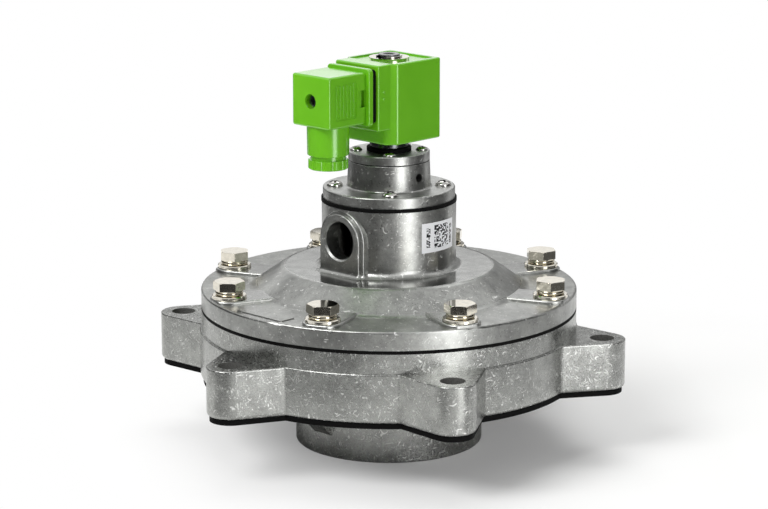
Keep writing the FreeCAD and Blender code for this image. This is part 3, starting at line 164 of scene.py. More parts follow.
# Angle to the right of the camera in degrees, width, bottom and top in metres, brightness
SCREENS = (
    (-26.0, 1.20, 0.0, 0.42, 0.05),
    (-97.0, 0.80, 0.0, 0.42, 0.06),
    (33.0, 0.20, 0.0, 0.50, 4.9),
    (84.0, 0.86, 0.0, 0.55, 0.05),
    (150.0, 0.36, 0.0, 0.70, 0.35),
    (180.0, 1.50, 0.0, 0.225, 0.12),
    (180.0, 1.50, 0.225, 0.34, 0.95),
    (180.0, 1.50, 0.34, 0.45, 1.60),
    (180.0, 1.50, 0.45, 0.75, 0.35),
)
# Cards on the floor inside the screens: angle, width, nearest and farthest distance, brightness
CARDS = (
    (-24.0, 1.10, 0.43, 0.66, 0.04),
    (-38.0, 0.30, 0.27, 0.42, 0.45),
    (-97.0, 0.70, 0.34, 0.50, 0.90),
    (-97.0, 0.80, 0.50, 0.64, 0.08),
    (33.0, 0.15, 0.42, 0.62, 5.0),
    (60.0, 0.22, 0.26, 0.41, 0.35),
    (84.0, 0.74, 0.42, 0.62, 0.09),
    (95.0, 0.46, 0.20, 0.41, 1.0),
)
CARD_HEIGHT = 0.001
CANOPY_HEIGHT = 0.75
CANOPY_SIZE = (0.95, 0.85)
CANOPY_GREY = 0.72


# Selecting and shaping

def deselect_all():
    bpy.ops.object.select_all(action="DESELECT")


def select_only(piece):
    deselect_all()
    piece.select_set(True)
    bpy.context.view_layer.objects.active = piece


def edit(piece):
    select_only(piece)
    bpy.ops.object.mode_set(mode="EDIT")


def leave_edit():
    bpy.ops.object.mode_set(mode="OBJECT")


def pick_edges(piece, test):
    """Select the edges, in edit mode, whose two ends pass the test."""
    bpy.ops.mesh.select_mode(type="EDGE")
    shape = bmesh.from_edit_mesh(piece.data)
    for edge in shape.edges:
        edge.select_set(False)
    for edge in shape.edges:
        if test(edge.verts[0].co / MM, edge.verts[1].co / MM):
            edge.select_set(True)
    bmesh.update_edit_mesh(piece.data)


def settle(piece):
    """Put the piece's place, turn and scale into its mesh."""
    select_only(piece)
    bpy.ops.object.transform_apply(location=True, rotation=True, scale=True)


def modify(piece, kind, **settings):
    """Add one modifier and apply it."""
    select_only(piece)
    modifier = piece.modifiers.new(kind.title(), kind)
    for name, value in settings.items():
        setattr(modifier, name, value)
    bpy.ops.object.modifier_apply(modifier=modifier.name)


def round_edges(piece, width, steps=2, angle=30.0):
    modify(
        piece, "BEVEL",
        width=width * MM, segments=steps, limit_method="ANGLE",
        angle_limit=math.radians(angle), use_clamp_overlap=True, harden_normals=False,
    )


def carve(piece, tool, operation="DIFFERENCE"):
    """Cut a tool out of a piece, add it, or keep what they share, and throw the tool away."""
    modify(piece, "BOOLEAN", operation=operation, object=tool, solver="EXACT")
    bpy.data.objects.remove(tool)


def close_and_face_out(piece):
    """Merge points that lie on each other and turn every face outwards."""
    edit(piece)
    bpy.ops.mesh.select_all(action="SELECT")
    bpy.ops.mesh.remove_doubles(threshold=0.002 * MM)
    bpy.ops.mesh.normals_make_consistent(inside=False)
    leave_edit()


def new_piece(name):
    """The primitive that was just added, named, with its place put into its mesh."""
    piece = bpy.context.object
    piece.name = name
    piece.data.name = name
    settle(piece)
    return piece


def turned(name, corners, y=0.0, hollow=False, sides=ROUND):
    """Draw a circle out from corner to corner (radius, height) in mm, as on a lathe."""
    radius, height = corners[0]
    deselect_all()
    bpy.ops.mesh.primitive_circle_add(
        vertices=sides, radius=radius * MM, location=(0, y * MM, height * MM),
    )
    piece = new_piece(name)
    edit(piece)
    bpy.ops.mesh.select_all(action="SELECT")
    for next_radius, next_height in corners[1:]:
        bpy.ops.mesh.extrude_region_move(
            TRANSFORM_OT_translate={"value": (0, 0, (next_height - height) * MM)},
        )
        share = next_radius / radius
        bpy.ops.transform.resize(
            value=(share, share, 1.0), center_override=(0, y * MM, next_height * MM),
        )
        radius, height = next_radius, next_height
    bpy.ops.mesh.select_mode(type="EDGE")
    bpy.ops.mesh.select_all(action="DESELECT")
    bpy.ops.mesh.select_non_manifold()
    if hollow:
        bpy.ops.mesh.bridge_edge_loops()
    else:
        bpy.ops.mesh.fill_holes(sides=0)
    leave_edit()
    close_and_face_out(piece)
    return piece


def block(name, low, high):
    """Box between two corners in millimetres, to be shaped further."""
    centre = (Vector(low) + Vector(high)) / 2.0
    size = Vector(high) - Vector(low)
    deselect_all()
    bpy.ops.mesh.primitive_cube_add(size=1.0, location=centre * MM, scale=size * MM)
    return new_piece(name)


def rod(name, radius, low, high):
    """Round bar between two points in millimetres."""
    low, high = Vector(low), Vector(high)
    run = high - low
    deselect_all()
    bpy.ops.mesh.primitive_cylinder_add(
        vertices=SMALL_ROUND, radius=radius * MM, depth=run.length * MM,
        location=(low + high) / 2.0 * MM, rotation=run.to_track_quat("Z", "Y").to_euler(),
    )
    return new_piece(name)


def join(name, pieces):
    """One object from several, each still a closed shell."""
    deselect_all()
    for piece in pieces:
        piece.select_set(True)
    bpy.context.view_layer.objects.active = pieces[0]
    bpy.ops.object.join()
    pieces[0].name = name
    pieces[0].data.name = name
    return pieces[0]


def height_of(node):
    """Lowest and highest point of a node in millimetres."""
    low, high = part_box(node)
    return low.z / MM, high.z / MM


def polar(radius, degrees):
    """Point at a radius, its angle counted from -Y towards +X, in millimetres."""
    angle = math.radians(degrees)
    return radius * math.sin(angle), -radius * math.cos(angle)


def dress(piece, node, body, slot, finish=None):
    """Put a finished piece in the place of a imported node, on its body and with its finish."""
    select_only(piece)
    bpy.ops.object.shade_smooth_by_angle(angle=SMOOTH_ANGLE)
    modify(piece, "WEIGHTED_NORMAL", keep_sharp=True, weight=80)
    piece.data.materials.clear()
    piece.data.materials.append(FINISHES[finish or slot])
    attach(piece, body)
    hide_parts(node)


def copied(piece, place, turn=0.0):
    """Copy of a piece with its own mesh, moved in mm and turned in degrees about its upright axis."""
    select_only(piece)
    bpy.ops.object.duplicate(linked=False)
    copy = bpy.context.object
    copy.rotation_euler = (0, 0, math.radians(turn))
    copy.location = [along * MM for along in place]
    settle(copy)
    return copy


def spread(piece, node, turns, circle, first_place, slot, finish=None):
    """A copy of one fastener for each place on its circle, each turned by hand a little differently."""
    for index, own_turn in enumerate(turns):
        x, y = polar(circle, first_place + 360.0 * index / len(turns))
        copy = copied(piece, (x, y, 0.0), own_turn)
        copy.name = f"{piece.name}_{index + 1}"
        copy.data.name = copy.name
        dress(copy, node, "casing", slot, finish)
    bpy.data.objects.remove(piece)


# Finishes

def linear(hex_colour):
    """sRGB hex to the four linear values that a shader takes."""
    values = []
    for start in (0, 2, 4):
        value = int(hex_colour[start:start + 2], 16) / 255.0
        if value <= 0.04045:
            values.append(value / 12.92)
        else:
            values.append(((value + 0.055) / 1.055) ** 2.4)
    return (*values, 1.0)


def add_node(tree, kind, sockets=(), **settings):
    """Add one shader node, set its properties, and set or link its sockets, by name or in order."""
    node = tree.nodes.new("ShaderNode" + kind)
    for name, value in settings.items():
        setattr(node, name, value)
    pairs = sockets.items() if isinstance(sockets, dict) else enumerate(sockets)
    for name, value in pairs:
        if isinstance(value, bpy.types.NodeSocket):
            tree.links.new(value, node.inputs[name])
        else:
            node.inputs[name].default_value = value
    return node


def start_material(name):
    """Empty material, its node tree and its object coordinates in metres."""
    material = bpy.data.materials.new(name)
    material.use_nodes = True
    tree = material.node_tree
    tree.nodes.clear()
    return material, tree, add_node(tree, "TexCoord").outputs["Object"]


def finish_material(material, sockets):
    """Close a material with its shader and output."""
    tree = material.node_tree
    shader = add_node(tree, "BsdfPrincipled", sockets)
    add_node(tree, "OutputMaterial", {"Surface": shader.outputs["BSDF"]})
    return material


def per_mm(size):
    """Scale of a pattern whose features are this many millimetres apart."""
    return 1.0 / (size * MM)


def largest(tree, values):
    """The largest of several masks at each point."""
    result = values[0]
    for value in values[1:]:
        result = add_node(tree, "Math", (result, value), operation="MAXIMUM").outputs["Value"]
    return result


def nicks(tree, place, turn, share):
    """Sparse nicks that run roughly one way, 9 mm long and 1.4 mm wide, as a mask from 0 to 1."""
    mapping = add_node(tree, "Mapping", {
        "Vector": place, "Rotation": turn, "Scale": (9.0 * MM, 1.4 * MM, 1.4 * MM),
    }, vector_type="TEXTURE")
    cells = add_node(tree, "TexVoronoi", {
        "Vector": mapping.outputs["Vector"], "Scale": 1.0, "Randomness": 1.0,
    })
    nick = add_node(tree, "MapRange", (cells.outputs["Distance"], 0.12, 0.30, 1.0, 0.0))
    chosen = add_node(tree, "SeparateColor", {"Color": cells.outputs["Color"]})
    kept = add_node(tree, "MapRange", (
        chosen.outputs["Red"], 1.0 - share, 1.0 - 0.4 * share, 0.0, 1.0,
    ))
    both = add_node(tree, "Math", (nick.outputs[0], kept.outputs[0]), operation="MULTIPLY")
    return both.outputs["Value"]


def machined_faces(tree, place, levels, radius):
    """Mask of the flat faces at these heights in mm, out to a radius in mm: turned smooth."""
    parts = add_node(tree, "SeparateXYZ", (place,)).outputs
    masks = []
    for level in levels:
        off = add_node(tree, "Math", (parts["Z"], level * MM), operation="SUBTRACT")
        away = add_node(tree, "Math", (off.outputs[0],), operation="ABSOLUTE")
        mask = add_node(tree, "MapRange", (away.outputs[0], 0.02 * MM, 0.12 * MM, 1.0, 0.0))
        masks.append(mask.outputs[0])
    flat = add_node(tree, "CombineXYZ", (parts["X"], parts["Y"]))
    out = add_node(tree, "VectorMath", (flat.outputs[0],), operation="LENGTH")
    inside = add_node(tree, "MapRange", (
        out.outputs["Value"], (radius - 0.6) * MM, radius * MM, 1.0, 0.0,
    ))
    both = add_node(tree, "Math", (largest(tree, masks), inside.outputs[0]), operation="MULTIPLY")
    return both.outputs["Value"]


def drilled_walls(tree, place, centres, radius):
    """Mask of the walls of upright holes at these places, all in mm."""
    parts = add_node(tree, "SeparateXYZ", (place,)).outputs
    flat = add_node(tree, "CombineXYZ", (parts["X"], parts["Y"])).outputs["Vector"]
    masks = []
    for x, y in centres:
        away = add_node(tree, "VectorMath", (flat, (x * MM, y * MM, 0.0)), operation="DISTANCE")
        mask = add_node(tree, "MapRange", (
            away.outputs["Value"], (radius + 0.1) * MM, (radius + 0.3) * MM, 1.0, 0.0,
        ))
        masks.append(mask.outputs[0])
    return largest(tree, masks)


def cast_aluminium(name, colour, roughness, nick_share, nick_depth, machined=(), holes=()):
    """Die-cast aluminium, tumbled after casting.

    A satin silver skin with soft grey patches and a grain, which is finer than this on the real one and is
    drawn at 0.8 mm so that it shows. Tumbling left nicks in every direction, which catch the light in dark
    places and break it in bright ones. Machined heights are turned smooth. The walls of drilled holes are
    painted a flat grey that is hardly metal: a painted reflection, standing in for the bright floor that
    they reflect.
    """
    material, tree, place = start_material(name)
    patches = add_node(tree, "TexNoise", {
        "Vector": place, "Scale": per_mm(9.0), "Detail": 5.0, "Roughness": 0.7,
    })
    grain = add_node(tree, "TexNoise", {
        "Vector": place, "Scale": per_mm(0.8), "Detail": 2.0, "Roughness": 0.6,
    }).outputs["Fac"]
    swirl = add_node(tree, "TexNoise", {"Vector": place, "Scale": per_mm(5.0), "Detail": 0.0})
    curved = add_node(tree, "VectorMath", (
        swirl.outputs["Color"], (9.0 * MM, 9.0 * MM, 9.0 * MM), place,
    ), operation="MULTIPLY_ADD").outputs["Vector"]
    turns = ((0.4, 0.3, 0.5), (1.1, -0.6, 1.9), (-0.7, 1.3, 2.9), (2.1, 0.5, -0.8))
    nick = largest(tree, [nicks(tree, curved, turn, nick_share) for turn in turns])
    if machined:
        smooth = machined_faces(tree, place, machined, CASTING_REACH)
        cast = add_node(tree, "MapRange", (smooth, 0.0, 1.0, 1.0, 0.0))
        nick = add_node(tree, "Math", (nick, cast.outputs[0]), operation="MULTIPLY").outputs[0]
    patch_tone = add_node(tree, "MapRange", (patches.outputs["Fac"], 0.3, 0.7, 0.72, 1.16))
    grain_tone = add_node(tree, "MapRange", (grain, 0.3, 0.7, 0.90, 1.05))
    tone = add_node(tree, "Math", (
        patch_tone.outputs[0], grain_tone.outputs[0],
    ), operation="MULTIPLY")
    skin = add_node(tree, "Mix", {
        0: 1.0, 6: colour, 7: tone.outputs[0],
    }, data_type="RGBA", blend_type="MULTIPLY")
    shine = add_node(tree, "Math", (nick, 0.75), operation="MULTIPLY")
    skin = add_node(tree, "Mix", {
        0: shine.outputs[0], 6: skin.outputs[2], 7: linear("FBFBF9"),
    }, data_type="RGBA")
    metallic = 1.0
    if holes:
        # Painted reflection: the hole walls turn a flat grey, hardly metal, in place of the floor light
        # they reflect.
        drilled = drilled_walls(tree, place, holes, LUG_HOLE_RADIUS)
        skin = add_node(tree, "Mix", {
            0: drilled, 6: skin.outputs[2], 7: linear("6C6C69"),
        }, data_type="RGBA")
        metallic = add_node(tree, "MapRange", (drilled, 0.0, 1.0, 1.0, 0.15)).outputs[0]
    dull = add_node(tree, "MapRange", (grain, 0.3, 0.7, roughness - 0.05, roughness + 0.06))
    dull = add_node(tree, "Mix", {0: nick, 2: dull.outputs[0], 3: 0.6})
    strength = 0.4
    if machined:
        dull = add_node(tree, "Mix", {0: smooth, 2: dull.outputs[0], 3: 0.16})
        strength = add_node(tree, "MapRange", (smooth, 0.0, 1.0, 0.4, 0.02)).outputs[0]
    grain_height = add_node(tree, "Math", (grain, 0.05), operation="MULTIPLY")
    height = add_node(tree, "Math", (
        nick, -nick_depth, grain_height.outputs[0],
    ), operation="MULTIPLY_ADD")
    bump = add_node(tree, "Bump", {
        "Strength": strength, "Distance": 0.2 * MM, "Height": height.outputs[0],
    })
    return finish_material(material, {
        "Base Color": skin.outputs[2], "Metallic": metallic,
        "Roughness": dull.outputs[0], "Normal": bump.outputs["Normal"],
    })


def plated_metal(name, colour, roughness, grain_size, bump_strength):
    """Plated or drawn metal with a fine uneven film, which shows as slight changes of gloss."""
    material, tree, place = start_material(name)
    film = add_node(tree, "TexNoise", {
        "Vector": place, "Scale": per_mm(grain_size), "Detail": 4.0, "Roughness": 0.6,
    }).outputs["Fac"]
    tone = add_node(tree, "MapRange", (film, 0.3, 0.7, 0.86, 1.05))
    tint = add_node(tree, "Mix", {
        0: 1.0, 6: linear(colour), 7: tone.outputs[0],
    }, data_type="RGBA", blend_type="MULTIPLY")
    dull = add_node(tree, "MapRange", (film, 0.3, 0.7, roughness * 0.8, roughness * 1.3))
    bump = add_node(tree, "Bump", {
        "Strength": bump_strength, "Distance": 0.03 * MM, "Height": film,
    })
    return finish_material(material, {
        "Base Color": tint.outputs[2], "Metallic": 1.0,
        "Roughness": dull.outputs[0], "Normal": bump.outputs["Normal"],
    })


def moulded_plastic(name, colour, flow_colour, roughness, gloss=0.0):
    """Injection-moulded plastic: a glossy skin with a faint orange peel and slight flow marks."""
    material, tree, place = start_material(name)
    flow = add_node(tree, "TexNoise", {
        "Vector": place, "Scale": per_mm(26.0), "Detail": 2.0, "Roughness": 0.5,
    })
    peel = add_node(tree, "TexNoise", {
        "Vector": place, "Scale": per_mm(1.1), "Detail": 2.0, "Roughness": 0.5,
    }).outputs["Fac"]
    marks = add_node(tree, "MapRange", (flow.outputs["Fac"], 0.35, 0.65, 0.0, 1.0))
    tint = add_node(tree, "Mix", {
        0: marks.outputs[0], 6: colour, 7: flow_colour,
    }, data_type="RGBA")
    dull = add_node(tree, "MapRange", (peel, 0.3, 0.7, roughness - 0.02, roughness + 0.03))
    bump = add_node(tree, "Bump", {"Strength": 0.03, "Distance": 0.05 * MM, "Height": peel})
    return finish_material(material, {
        "Base Color": tint.outputs[2], "Roughness": dull.outputs[0], "IOR": 1.53,
        "Coat Weight": gloss, "Coat Roughness": 0.12, "Normal": bump.outputs["Normal"],
    })


def cut_rubber(name, colour, roughness):
    """Black nitrile rubber sheet: matt, with specks of dust and the ripple of the cut edge."""
    material, tree, place = start_material(name)
    dust = add_node(tree, "TexNoise", {
        "Vector": place, "Scale": per_mm(0.7), "Detail": 4.0, "Roughness": 0.65,
    }).outputs["Fac"]
    specks = add_node(tree, "MapRange", (dust, 0.58, 0.74, 0.0, 0.2))
    tint = add_node(tree, "Mix", {
        0: specks.outputs[0], 6: linear(colour), 7: linear("303030"),
    }, data_type="RGBA")
    dull = add_node(tree, "MapRange", (dust, 0.3, 0.7, roughness - 0.08, roughness + 0.1))
    bump = add_node(tree, "Bump", {"Strength": 0.25, "Distance": 0.08 * MM, "Height": dust})
    return finish_material(material, {
        "Base Color": tint.outputs[2], "Roughness": dull.outputs[0], "IOR": 1.5,
        "Specular IOR Level": 0.1, "Normal": bump.outputs["Normal"],
    })


def between(tree, value, low, high):
    """1 where a value lies between two bounds, else 0."""
    above = add_node(tree, "Math", (value, low), operation="GREATER_THAN")
    below = add_node(tree, "Math", (value, high), operation="LESS_THAN")
    both = add_node(tree, "Math", (above.outputs[0], below.outputs[0]), operation="MULTIPLY")
    return both.outputs["Value"]


def print_block(tree, along, up, corner, size, cell):
    """Dark random cells in a rectangle of the label, given in mm."""
    inside = add_node(tree, "Math", (
        between(tree, along, corner[0] * MM, (corner[0] + size[0]) * MM),
        between(tree, up, corner[1] * MM, (corner[1] + size[1]) * MM),
    ), operation="MULTIPLY")
    column = add_node(tree, "Math", (along, cell * MM), operation="SNAP")
    row = add_node(tree, "Math", (up, cell * MM), operation="SNAP")
    place = add_node(tree, "CombineXYZ", (column.outputs[0], row.outputs[0], corner[0] * MM))
    spread_out = add_node(tree, "VectorMath", {
        0: place.outputs["Vector"], "Scale": 7919.0,
    }, operation="SCALE")
    dice = add_node(tree, "TexWhiteNoise", {"Vector": spread_out.outputs["Vector"]})
    inked = add_node(tree, "Math", (dice.outputs["Value"], PRINTED_SHARE), operation="LESS_THAN")
    both = add_node(tree, "Math", (inside.outputs[0], inked.outputs[0]), operation="MULTIPLY")
    return both.outputs["Value"]


def printed_film(name):
    """Polyester label: a pale satin film, a block of chequered cells between two narrow columns.

    The marks stand for print in general and can't be read.
    """
    material, tree, place = start_material(name)
    foot = height_of("turret_label")[0]
    parts = add_node(tree, "SeparateXYZ", (place,)).outputs
    front = add_node(tree, "Math", (parts["Y"], -1.0), operation="MULTIPLY")
    angle = add_node(tree, "Math", (parts["X"], front.outputs[0]), operation="ARCTAN2")
    along = add_node(tree, "Math", (
        angle.outputs[0], LABEL_RADIUS * MM, -math.radians(LABEL_PLACE) * LABEL_RADIUS * MM,
    ), operation="MULTIPLY_ADD").outputs[0]
    up = add_node(tree, "Math", (parts["Z"], foot * MM), operation="SUBTRACT").outputs[0]
    ink = largest(tree, [print_block(tree, along, up, *part) for part in LABEL_PRINT])
    tint = add_node(tree, "Mix", {
        0: ink, 6: linear("FBFCFF"), 7: linear("1C1E22"),
    }, data_type="RGBA")
    return finish_material(material, {
        "Base Color": tint.outputs[2], "Roughness": 0.35, "IOR": 1.5,
    })


def wound_copper(name):
    """Enamelled copper wire in close turns, each a ridge drawn at 0.8 mm, coarser than real wire."""
    material, tree, place = start_material(name)
    turns = add_node(tree, "TexWave", {
        "Vector": place, "Scale": per_mm(0.8) / 20.0, "Distortion": 0.0,
    }, bands_direction="Z").outputs["Fac"]
    tint = add_node(tree, "Mix", {
        0: turns, 6: linear("7A3218"), 7: linear("C8703A"),
    }, data_type="RGBA")
    bump = add_node(tree, "Bump", {"Strength": 0.6, "Distance": 0.2 * MM, "Height": turns})
    return finish_material(material, {
        "Base Color": tint.outputs[2], "Metallic": 0.8, "Roughness": 0.32,
        "Normal": bump.outputs["Normal"],
    })


FINISHES = {}
# Nodes whose surface differs from the rest of their slot. The plug screw is made dark as painted shade
# of its bore; the tube collar under the coil is made dark as well.
OWN_FINISHES = {"tube_collar": "collar_steel", "plug_screw": "collar_steel"}
# Metals: slot, name, colour, roughness, grain of the film in mm, strength of its bump
METALS = (
    # zinc plate on sheet: an even grey with a soft shine
    ("plate_steel", "zinc_plated_sheet_steel", "B9B9B4", 0.3, 3.0, 0.1),
    # bright nickel plate: almost a mirror, faintly warm
    ("plated_steel", "nickel_plated_steel", "F0EADB", 0.055, 2.4, 0.03),
    ("washer_steel", "nickel_plated_washer_steel", "E4DFD2", 0.1, 1.8, 0.04),
    ("spring_washer", "nickel_plated_spring_washer_steel", "BDB6A4", 0.08, 1.6, 0.04),
    # polished stainless steel: neutral, its highlights a little spread
    ("polished_screw", "polished_stainless_steel", "C9C8C4", 0.14, 1.4, 0.04),
    # spring wire hardened in oil: dark, with a dull sheen
    ("spring_steel", "oil_hardened_spring_steel", "6E6C69", 0.3, 0.8, 0.2),
    #     dark steel with clear highlights; on the plug screw, down its bore, the darkness is painted shade
    ("collar_steel", "dark_steel_with_painted_shade", "66686A", 0.22, 1.2, 0.04),
    # turned iron: grey, with the tool's fine marks
    ("core_iron", "turned_soft_iron", "8A8A8C", 0.28, 0.6, 0.15),
)


def make_finishes(colours):
    FINISHES["manifold_casting"] = cast_aluminium(
        "tumbled_die_cast_aluminium", tuple(colours.body), 0.28, 0.42, 0.5,
        holes=[polar(LUG_CIRCLE_RADIUS, 360.0 * index / LUG_COUNT) for index in range(LUG_COUNT)],
    )
    FINISHES["cover_casting"] = cast_aluminium(
        "fine_die_cast_aluminium", tuple(colours.cover), 0.32, 0.16, 0.35,
        machined=(height_of("cover_flat_washers")[0], PLATEAU_Z),
    )
    FINISHES["black_rubber"] = cut_rubber("black_nitrile_rubber", "040404", 0.7)
    FINISHES["seat_rubber"] = cut_rubber("moulded_seat_rubber", "161617", 0.7)
    for slot, name, colour, roughness, grain_size, bump_strength in METALS:
        FINISHES[slot] = plated_metal(name, colour, roughness, grain_size, bump_strength)
    FINISHES["enamelled_copper"] = wound_copper("enamelled_copper_wire")
    FINISHES["green_plastic"] = moulded_plastic(
        "green_moulded_nylon", tuple(colours.plastic), tuple(colours.flow_marks), 0.2, gloss=0.6,
    )
    FINISHES["dark_plastic"] = moulded_plastic(
        "black_moulded_nylon", linear("17181A"), linear("1D1E20"), 0.4,
    )
    FINISHES["label_film"] = printed_film("printed_polyester_film")


# What a user may change

class PulseValveSizes(bpy.types.PropertyGroup):
    hexagon_width: bpy.props.FloatProperty(
        name="Hexagon width", description="Across flats of the cover bolts' heads",
        default=16.0 * MM, unit="LENGTH", precision=4,
    )
    edge_round: bpy.props.FloatProperty(
        name="Edge round", description="Radius on the edges of plated fasteners",
        default=0.25 * MM, unit="LENGTH", precision=5,
    )
    plastic_round: bpy.props.FloatProperty(
        name="Moulding round", description="Radius on the edges of the plastic mouldings",
        default=0.9 * MM, unit="LENGTH", precision=5,
    )


class PulseValveColours(bpy.types.PropertyGroup):
    body: bpy.props.FloatVectorProperty(
        name="Body casting", description="Aluminium of the body with its lugs",
        default=linear("A3A4A1"), subtype="COLOR", size=4,
    )
    cover: bpy.props.FloatVectorProperty(
        name="Cover castings", description="Aluminium of the cover, the pilot cover and the cap",
        default=linear("A9AAA7"), subtype="COLOR", size=4,
    )
    plastic: bpy.props.FloatVectorProperty(
        name="Plastic", description="Mouldings of the coil and the plug",
        default=linear("6EBD1C"), subtype="COLOR", size=4,
    )
    flow_marks: bpy.props.FloatVectorProperty(
        name="Flow marks", description="Darker places in these mouldings",
        default=linear("68B716"), subtype="COLOR", size=4,
    )
    floor: bpy.props.FloatVectorProperty(
        name="Floor", description="Floor near the valve",
        default=linear("FBFBFA"), subtype="COLOR", size=4,
    )


class PulseValveLight(bpy.types.PropertyGroup):
    key_power: bpy.props.FloatProperty(
        name="Key lamp", description="Power of the large lamp on the left",
        default=19.0, unit="POWER",
    )
    strip_power: bpy.props.FloatProperty(
        name="Strip lamp", description="Power of the upright lamp on the right",
        default=6.8, unit="POWER",
    )
    top_power: bpy.props.FloatProperty(
        name="Top lamp", description="Power of the lamp overhead",
        default=13.0, unit="POWER",
    )


class PULSEVALVE_OT_finishes(bpy.types.Operator):
    """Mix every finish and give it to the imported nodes"""
    bl_idname = "pulsevalve.finishes"
    bl_label = "Finishes"

    def execute(self, context):
        make_finishes(context.scene.pulse_valve_colours)
        for name, node in frame["nodes"].items():
            slot = node.data.materials[0].name
            if slot not in FINISHES:
                raise RuntimeError(f"{name} has the slot {slot}, which has no finish")
            node.data.materials[0] = FINISHES[OWN_FINISHES.get(name, slot)]
        return {"FINISHED"}


class PULSEVALVE_OT_cover_bolts(bpy.types.Operator):
    """Eight hexagon bolts with chamfered, softly rounded heads"""
    bl_idname = "pulsevalve.cover_bolts"
    bl_label = "Cover bolts"

    def execute(self, context):
        sizes = context.scene.pulse_valve_sizes
        end, top = height_of("cover_bolts")
        seat = height_of("cover_spring_washers")[1]
        across = sizes.hexagon_width / MM / math.cos(math.radians(30))
        deselect_all()
        bpy.ops.mesh.primitive_cylinder_add(
            vertices=6, radius=across / 2.0 * MM, depth=(top - seat) * MM,
            location=(0, 0, (top + seat) / 2.0 * MM),
        )
        head = new_piece("cover_bolt")
        foot = across * 0.43
        crown = across * 0.455
        outside = across * 0.6
        slope = math.tan(math.radians(30))
        turned_off = turned("chamfer", [
            (foot, seat), (foot, seat + 0.4), (outside, seat + 0.41),
            (outside, top - (outside - crown) * slope), (crown, top),
        ], sides=LARGE_ROUND)
        carve(head, turned_off, "INTERSECT")
        round_edges(head, sizes.edge_round / MM, 2, 20.0)
        shank = turned("shank", [
            (SHANK_RADIUS - 0.8, end), (SHANK_RADIUS, end + 0.8), (SHANK_RADIUS, seat + 0.4),
        ], sides=SMALL_ROUND)
        spread(
            join("cover_bolt", [head, shank]), "cover_bolts",
            COVER_BOLT_TURNS, COVER_BOLT_CIRCLE, COVER_BOLT_PLACE, "plated_steel",
        )
        return {"FINISHED"}


class PULSEVALVE_OT_cover_washers(bpy.types.Operator):
    """A flat washer and a split spring washer under each cover bolt"""
    bl_idname = "pulsevalve.cover_washers"
    bl_label = "Cover washers"

    def execute(self, context):
        low, high = height_of("cover_flat_washers")
        flat = turned("cover_flat_washer", [
            (5.2, low), (9.8, low), (10.0, low + 0.3), (10.0, high - 0.5),
            (9.5, high), (5.6, high), (5.2, high - 0.4),
        ], hollow=True)
        spread(
            flat, "cover_flat_washers", (0,) * len(COVER_BOLT_TURNS),
            COVER_BOLT_CIRCLE, COVER_BOLT_PLACE, "washer_steel",
        )
        low, high = height_of("cover_spring_washers")
        split = turned("cover_spring_washer", [
            (5.3, low), (7.4, low), (7.9, low + 0.4), (8.1, low + 1.0), (8.1, high - 0.8),
            (7.9, high - 0.3), (7.5, high), (5.3, high),
        ], hollow=True)
        lean = math.radians(SPLIT_LEAN)
        slot = block("slot", (-SPLIT_HALF_WIDTH, -12.0, low - 2.0), (SPLIT_HALF_WIDTH, 0.0, high + 2.0))
        slot.rotation_euler = (0, lean, 0)
        slot.location.x = -math.tan(lean) * (low + high) / 2.0 * MM
        settle(slot)
        carve(split, slot)
        spread(
            split, "cover_spring_washers", SPLIT_TURNS,
            COVER_BOLT_CIRCLE, COVER_BOLT_PLACE, "washer_steel", "spring_washer",
        )
        return {"FINISHED"}


def pan_head_screw(name, head_height, node, circle):
    """Screw on the valve's axis with a low domed head and a cross recess."""
    low, high = height_of(node)
    seat = high - head_height
    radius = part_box(node)[1].x / MM - circle * math.sin(math.radians(SCREW_PLACE))
    dome = [(radius, seat), (radius, seat + 0.3 * head_height)]
    for step in range(1, 7):
        angle = math.radians(12.0 * step)
        level = seat + head_height * (0.3 + 0.7 * math.sin(angle))
        dome.append((radius * math.cos(angle) ** 0.8, level))
    dome[-1] = (dome[-1][0], high)
    head = turned(name, dome, sides=SMALL_ROUND)
    arm = 0.66 * radius
    half_slot = 0.17 * radius
    floor = high - 0.55 * head_height
    for reach_x, reach_y in ((arm, half_slot), (half_slot, arm)):
        carve(head, block("recess", (-reach_x, -reach_y, floor), (reach_x, reach_y, high + 1.0)))
    stem = turned("stem", [
        (0.36 * radius, low), (0.5 * radius, low + 0.4), (0.5 * radius, seat + 0.2),
    ], sides=24)
    return join(name, [head, stem])


class PULSEVALVE_OT_screws(bpy.types.Operator):
    """Pan head screws of the pilot cover and of the tower's cap"""
    bl_idname = "pulsevalve.screws"
    bl_label = "Pan head screws"

    def execute(self, context):
        screws = (
            ("pilot_cover_screw", 3.4, "pilot_cover_screws", PILOT_SCREW_CIRCLE, PILOT_SCREW_TURNS),
            ("cap_screw", 2.6, "cap_screws", CAP_SCREW_CIRCLE, CAP_SCREW_TURNS),
        )
        for name, head_height, node, circle, turns in screws:
            screw = pan_head_screw(name, head_height, node, circle)
            spread(screw, node, turns, circle, SCREW_PLACE, "polished_screw")
        return {"FINISHED"}


def bevel_edges(piece, test, width, steps=4):
    """Round the edges whose two ends pass the test, or cut them flat with one step."""
    edit(piece)
    pick_edges(piece, test)
    bpy.ops.mesh.bevel(offset=width * MM, segments=steps, affect="EDGES")
    leave_edit()


